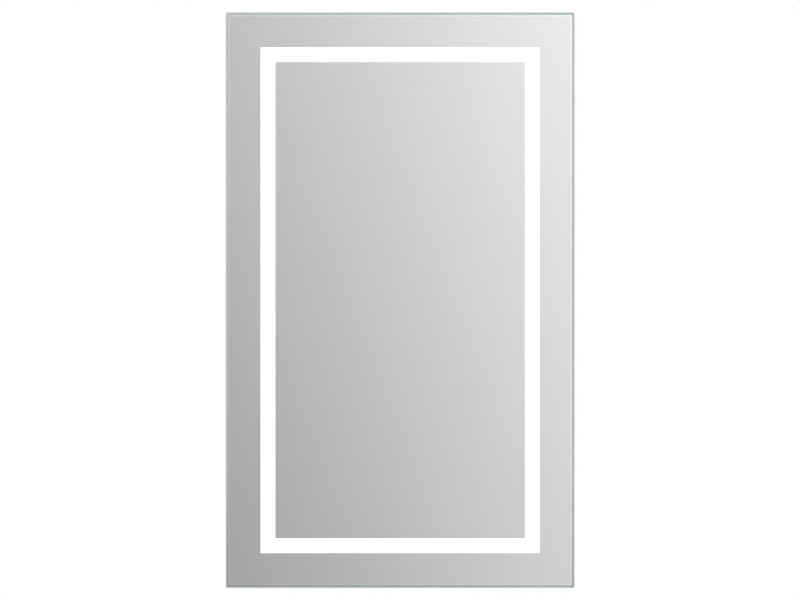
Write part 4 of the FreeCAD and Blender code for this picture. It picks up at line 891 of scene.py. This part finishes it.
def soft_wave(tree, angle, steepness, reach):
    """A wave of light round the studio: how steep it is straight ahead, and how far it goes up and down."""
    turn = add(tree, "ShaderNodeMath", {0: angle, 1: steepness / reach}, operation="MULTIPLY")
    wave = add(tree, "ShaderNodeMath", {0: turn}, operation="SINE")
    return add(tree, "ShaderNodeMath", {0: wave, 1: reach}, operation="MULTIPLY")


def light_level(tree, middle, waves):
    """Adds waves to a middle tone on the screen's scale, and turns the sum into linear light."""
    level = middle
    for wave in waves:
        level = add(tree, "ShaderNodeMath", {0: level, 1: wave}, operation="ADD")
    return add(tree, "ShaderNodeMath", {0: level, 1: SCREEN_GAMMA}, operation="POWER")


# %% Surroundings
def build_surroundings():
    """The world: what polished things reflect, what lights matt ones, and white for the camera."""
    world = bpy.data.worlds.new("white_studio")
    bpy.context.scene.world = world
    world.use_nodes = True
    tree = world.node_tree
    tree.nodes.clear()
    direction = tree.nodes.new("ShaderNodeTexCoord").outputs["Generated"]
    x, y, z = add(tree, "ShaderNodeSeparateXYZ", {0: direction}).node.outputs
    rays = tree.nodes.new("ShaderNodeLightPath").outputs

    forward = add(tree, "ShaderNodeMath", {0: y, 1: -1.0}, operation="MULTIPLY")
    yaw = add(tree, "ShaderNodeMath", {0: x, 1: forward}, operation="ARCTAN2")
    pitch = add(tree, "ShaderNodeMath", {0: z}, operation="ARCSINE")
    front = light_level(tree, middle=0.843, waves=[
        soft_wave(tree, yaw, steepness=3.35, reach=0.17), soft_wave(tree, pitch, steepness=1.34, reach=0.1),
    ])
    rear = light_level(tree, middle=0.82, waves=[
        soft_wave(tree, yaw, steepness=1.5, reach=0.12), soft_wave(tree, pitch, steepness=0.5, reach=0.14),
    ])
    see_through = add(
        tree, "ShaderNodeMix",
        {MIX_FACTOR: rays["Is Transmission Ray"], MIX_A: rear, MIX_B: WHITE},
        data_type="RGBA",
    )
    behind = add(
        tree, "ShaderNodeMapRange",
        {"Value": y, "From Min": -0.25, "From Max": 0.05},
        interpolation_type="SMOOTHSTEP",
    )
    mirrored = add(
        tree, "ShaderNodeMix", {MIX_FACTOR: behind, MIX_A: front, MIX_B: see_through}, data_type="RGBA",
    )

    light = add(
        tree, "ShaderNodeMapRange",
        {"Value": z, "From Min": -1.0, "From Max": 1.0, "To Min": 0.36, "To Max": 0.56},
    )
    shiny = add(
        tree, "ShaderNodeMath",
        {0: rays["Is Glossy Ray"], 1: rays["Is Transmission Ray"]},
        operation="MAXIMUM",
    )
    lit = add(tree, "ShaderNodeMix", {MIX_FACTOR: shiny, MIX_A: light, MIX_B: mirrored}, data_type="RGBA")
    seen = add(
        tree, "ShaderNodeMix",
        {MIX_FACTOR: rays["Is Camera Ray"], MIX_A: lit, MIX_B: WHITE},
        data_type="RGBA",
    )
    background = add(tree, "ShaderNodeBackground", {"Color": seen, "Strength": 1.0})
    add(tree, "ShaderNodeOutputWorld", {"Surface": background})
    return world


print("surroundings:", build_surroundings().name)

# %% [markdown]
# ## Lamps and floor
#
# Two large soft lamps, one in front and one behind, give the edges and beads some shape. They are kept out
# of reflections, so the mirror stays clean. The floor is pale and lies a little below the mirror, which
# hangs. Near the mirror it is an ordinary matt surface that keeps the mirror's soft shadow, and further out
# it fades into the white of the background.

# %% Lamps
def add_lamp(name, place, aim, size, power):
    """A square soft lamp that lights matt surfaces and shows in no mirror; its power is in watts."""
    data = bpy.data.lights.new(name, "AREA")
    data.shape = "SQUARE"
    data.size = size
    data.energy = power
    lamp = bpy.data.objects.new(name, data)
    lamp.location = place
    lamp.rotation_euler = (Vector(aim) - Vector(place)).to_track_quat("-Z", "Y").to_euler()
    lamp.visible_camera = False
    lamp.visible_glossy = False
    lamp.visible_transmission = False
    bpy.context.scene.collection.objects.link(lamp)
    return lamp


add_lamp("front_lamp", place=(-2.4, -2.8, 1.5), aim=pane_middle, size=2.0, power=75)
add_lamp("rear_lamp", place=(2.6, 1.6, 1.8), aim=pane_middle, size=1.4, power=105)
print("two lamps aimed at", [round(v, 3) for v in pane_middle])


# %% Floor material
def matt_studio_floor(fades_from, fades_to):
    """Matt and pale near the mirror, white to the camera further out, and clear from below."""
    material, tree, surface, place = start_material("matt_studio_floor")
    output = surface.outputs["BSDF"].links[0].to_node
    speckle = add(tree, "ShaderNodeTexNoise", {"Vector": place, "Scale": 1 / (8 * mm), "Detail": 2.0})
    colour = add(
        tree, "ShaderNodeMix",
        {MIX_FACTOR: speckle, MIX_A: linear("#F6F6F5"), MIX_B: linear("#FBFBFA")},
        data_type="RGBA",
    )
    join(tree, surface, {"Base Color": colour, "Roughness": 0.9})
    distance = add(tree, "ShaderNodeVectorMath", {0: place}, operation="LENGTH").node.outputs["Value"]
    far = add(
        tree, "ShaderNodeMapRange",
        {"Value": distance, "From Min": fades_from, "From Max": fades_to},
        interpolation_type="SMOOTHSTEP",
    )
    white = add(tree, "ShaderNodeEmission", {"Color": WHITE, "Strength": 1.0})
    rays = tree.nodes.new("ShaderNodeLightPath").outputs
    seen_far = add(tree, "ShaderNodeMath", {0: rays["Is Camera Ray"], 1: far}, operation="MULTIPLY")
    shade = add(tree, "ShaderNodeMixShader", {0: seen_far, 1: surface.outputs["BSDF"], 2: white})
    below = tree.nodes.new("ShaderNodeNewGeometry").outputs["Backfacing"]
    clear = add(tree, "ShaderNodeBsdfTransparent")
    one_sided = add(tree, "ShaderNodeMixShader", {0: below, 1: shade, 2: clear})
    join(tree, output, {"Surface": one_sided})
    return material


floor_finish = matt_studio_floor(fades_from=1.2, fades_to=2.0)
print("floor material:", floor_finish.name)

# %% Floor
floor_drop = 0.12
floor_reach = 60.0
floor_level = pane_low.z - floor_drop
floor_grid = bmesh.new()
bmesh.ops.create_grid(floor_grid, x_segments=1, y_segments=1, size=floor_reach)
bmesh.ops.translate(floor_grid, vec=(0, 0, floor_level), verts=floor_grid.verts)
floor_mesh = bpy.data.meshes.new("floor")
floor_grid.to_mesh(floor_mesh)
floor_grid.free()
floor_mesh.materials.append(floor_finish)
floor = bpy.data.objects.new("floor", floor_mesh)
floor.visible_glossy = False
floor.visible_transmission = False
bpy.context.scene.collection.objects.link(floor)
print("floor at z =", round(floor_level, 3))

# %% [markdown]
# ## Colour management
#
# The Standard view transform shows each colour about as it is written.

# %% Finish
bpy.context.scene.view_settings.view_transform = "Standard"
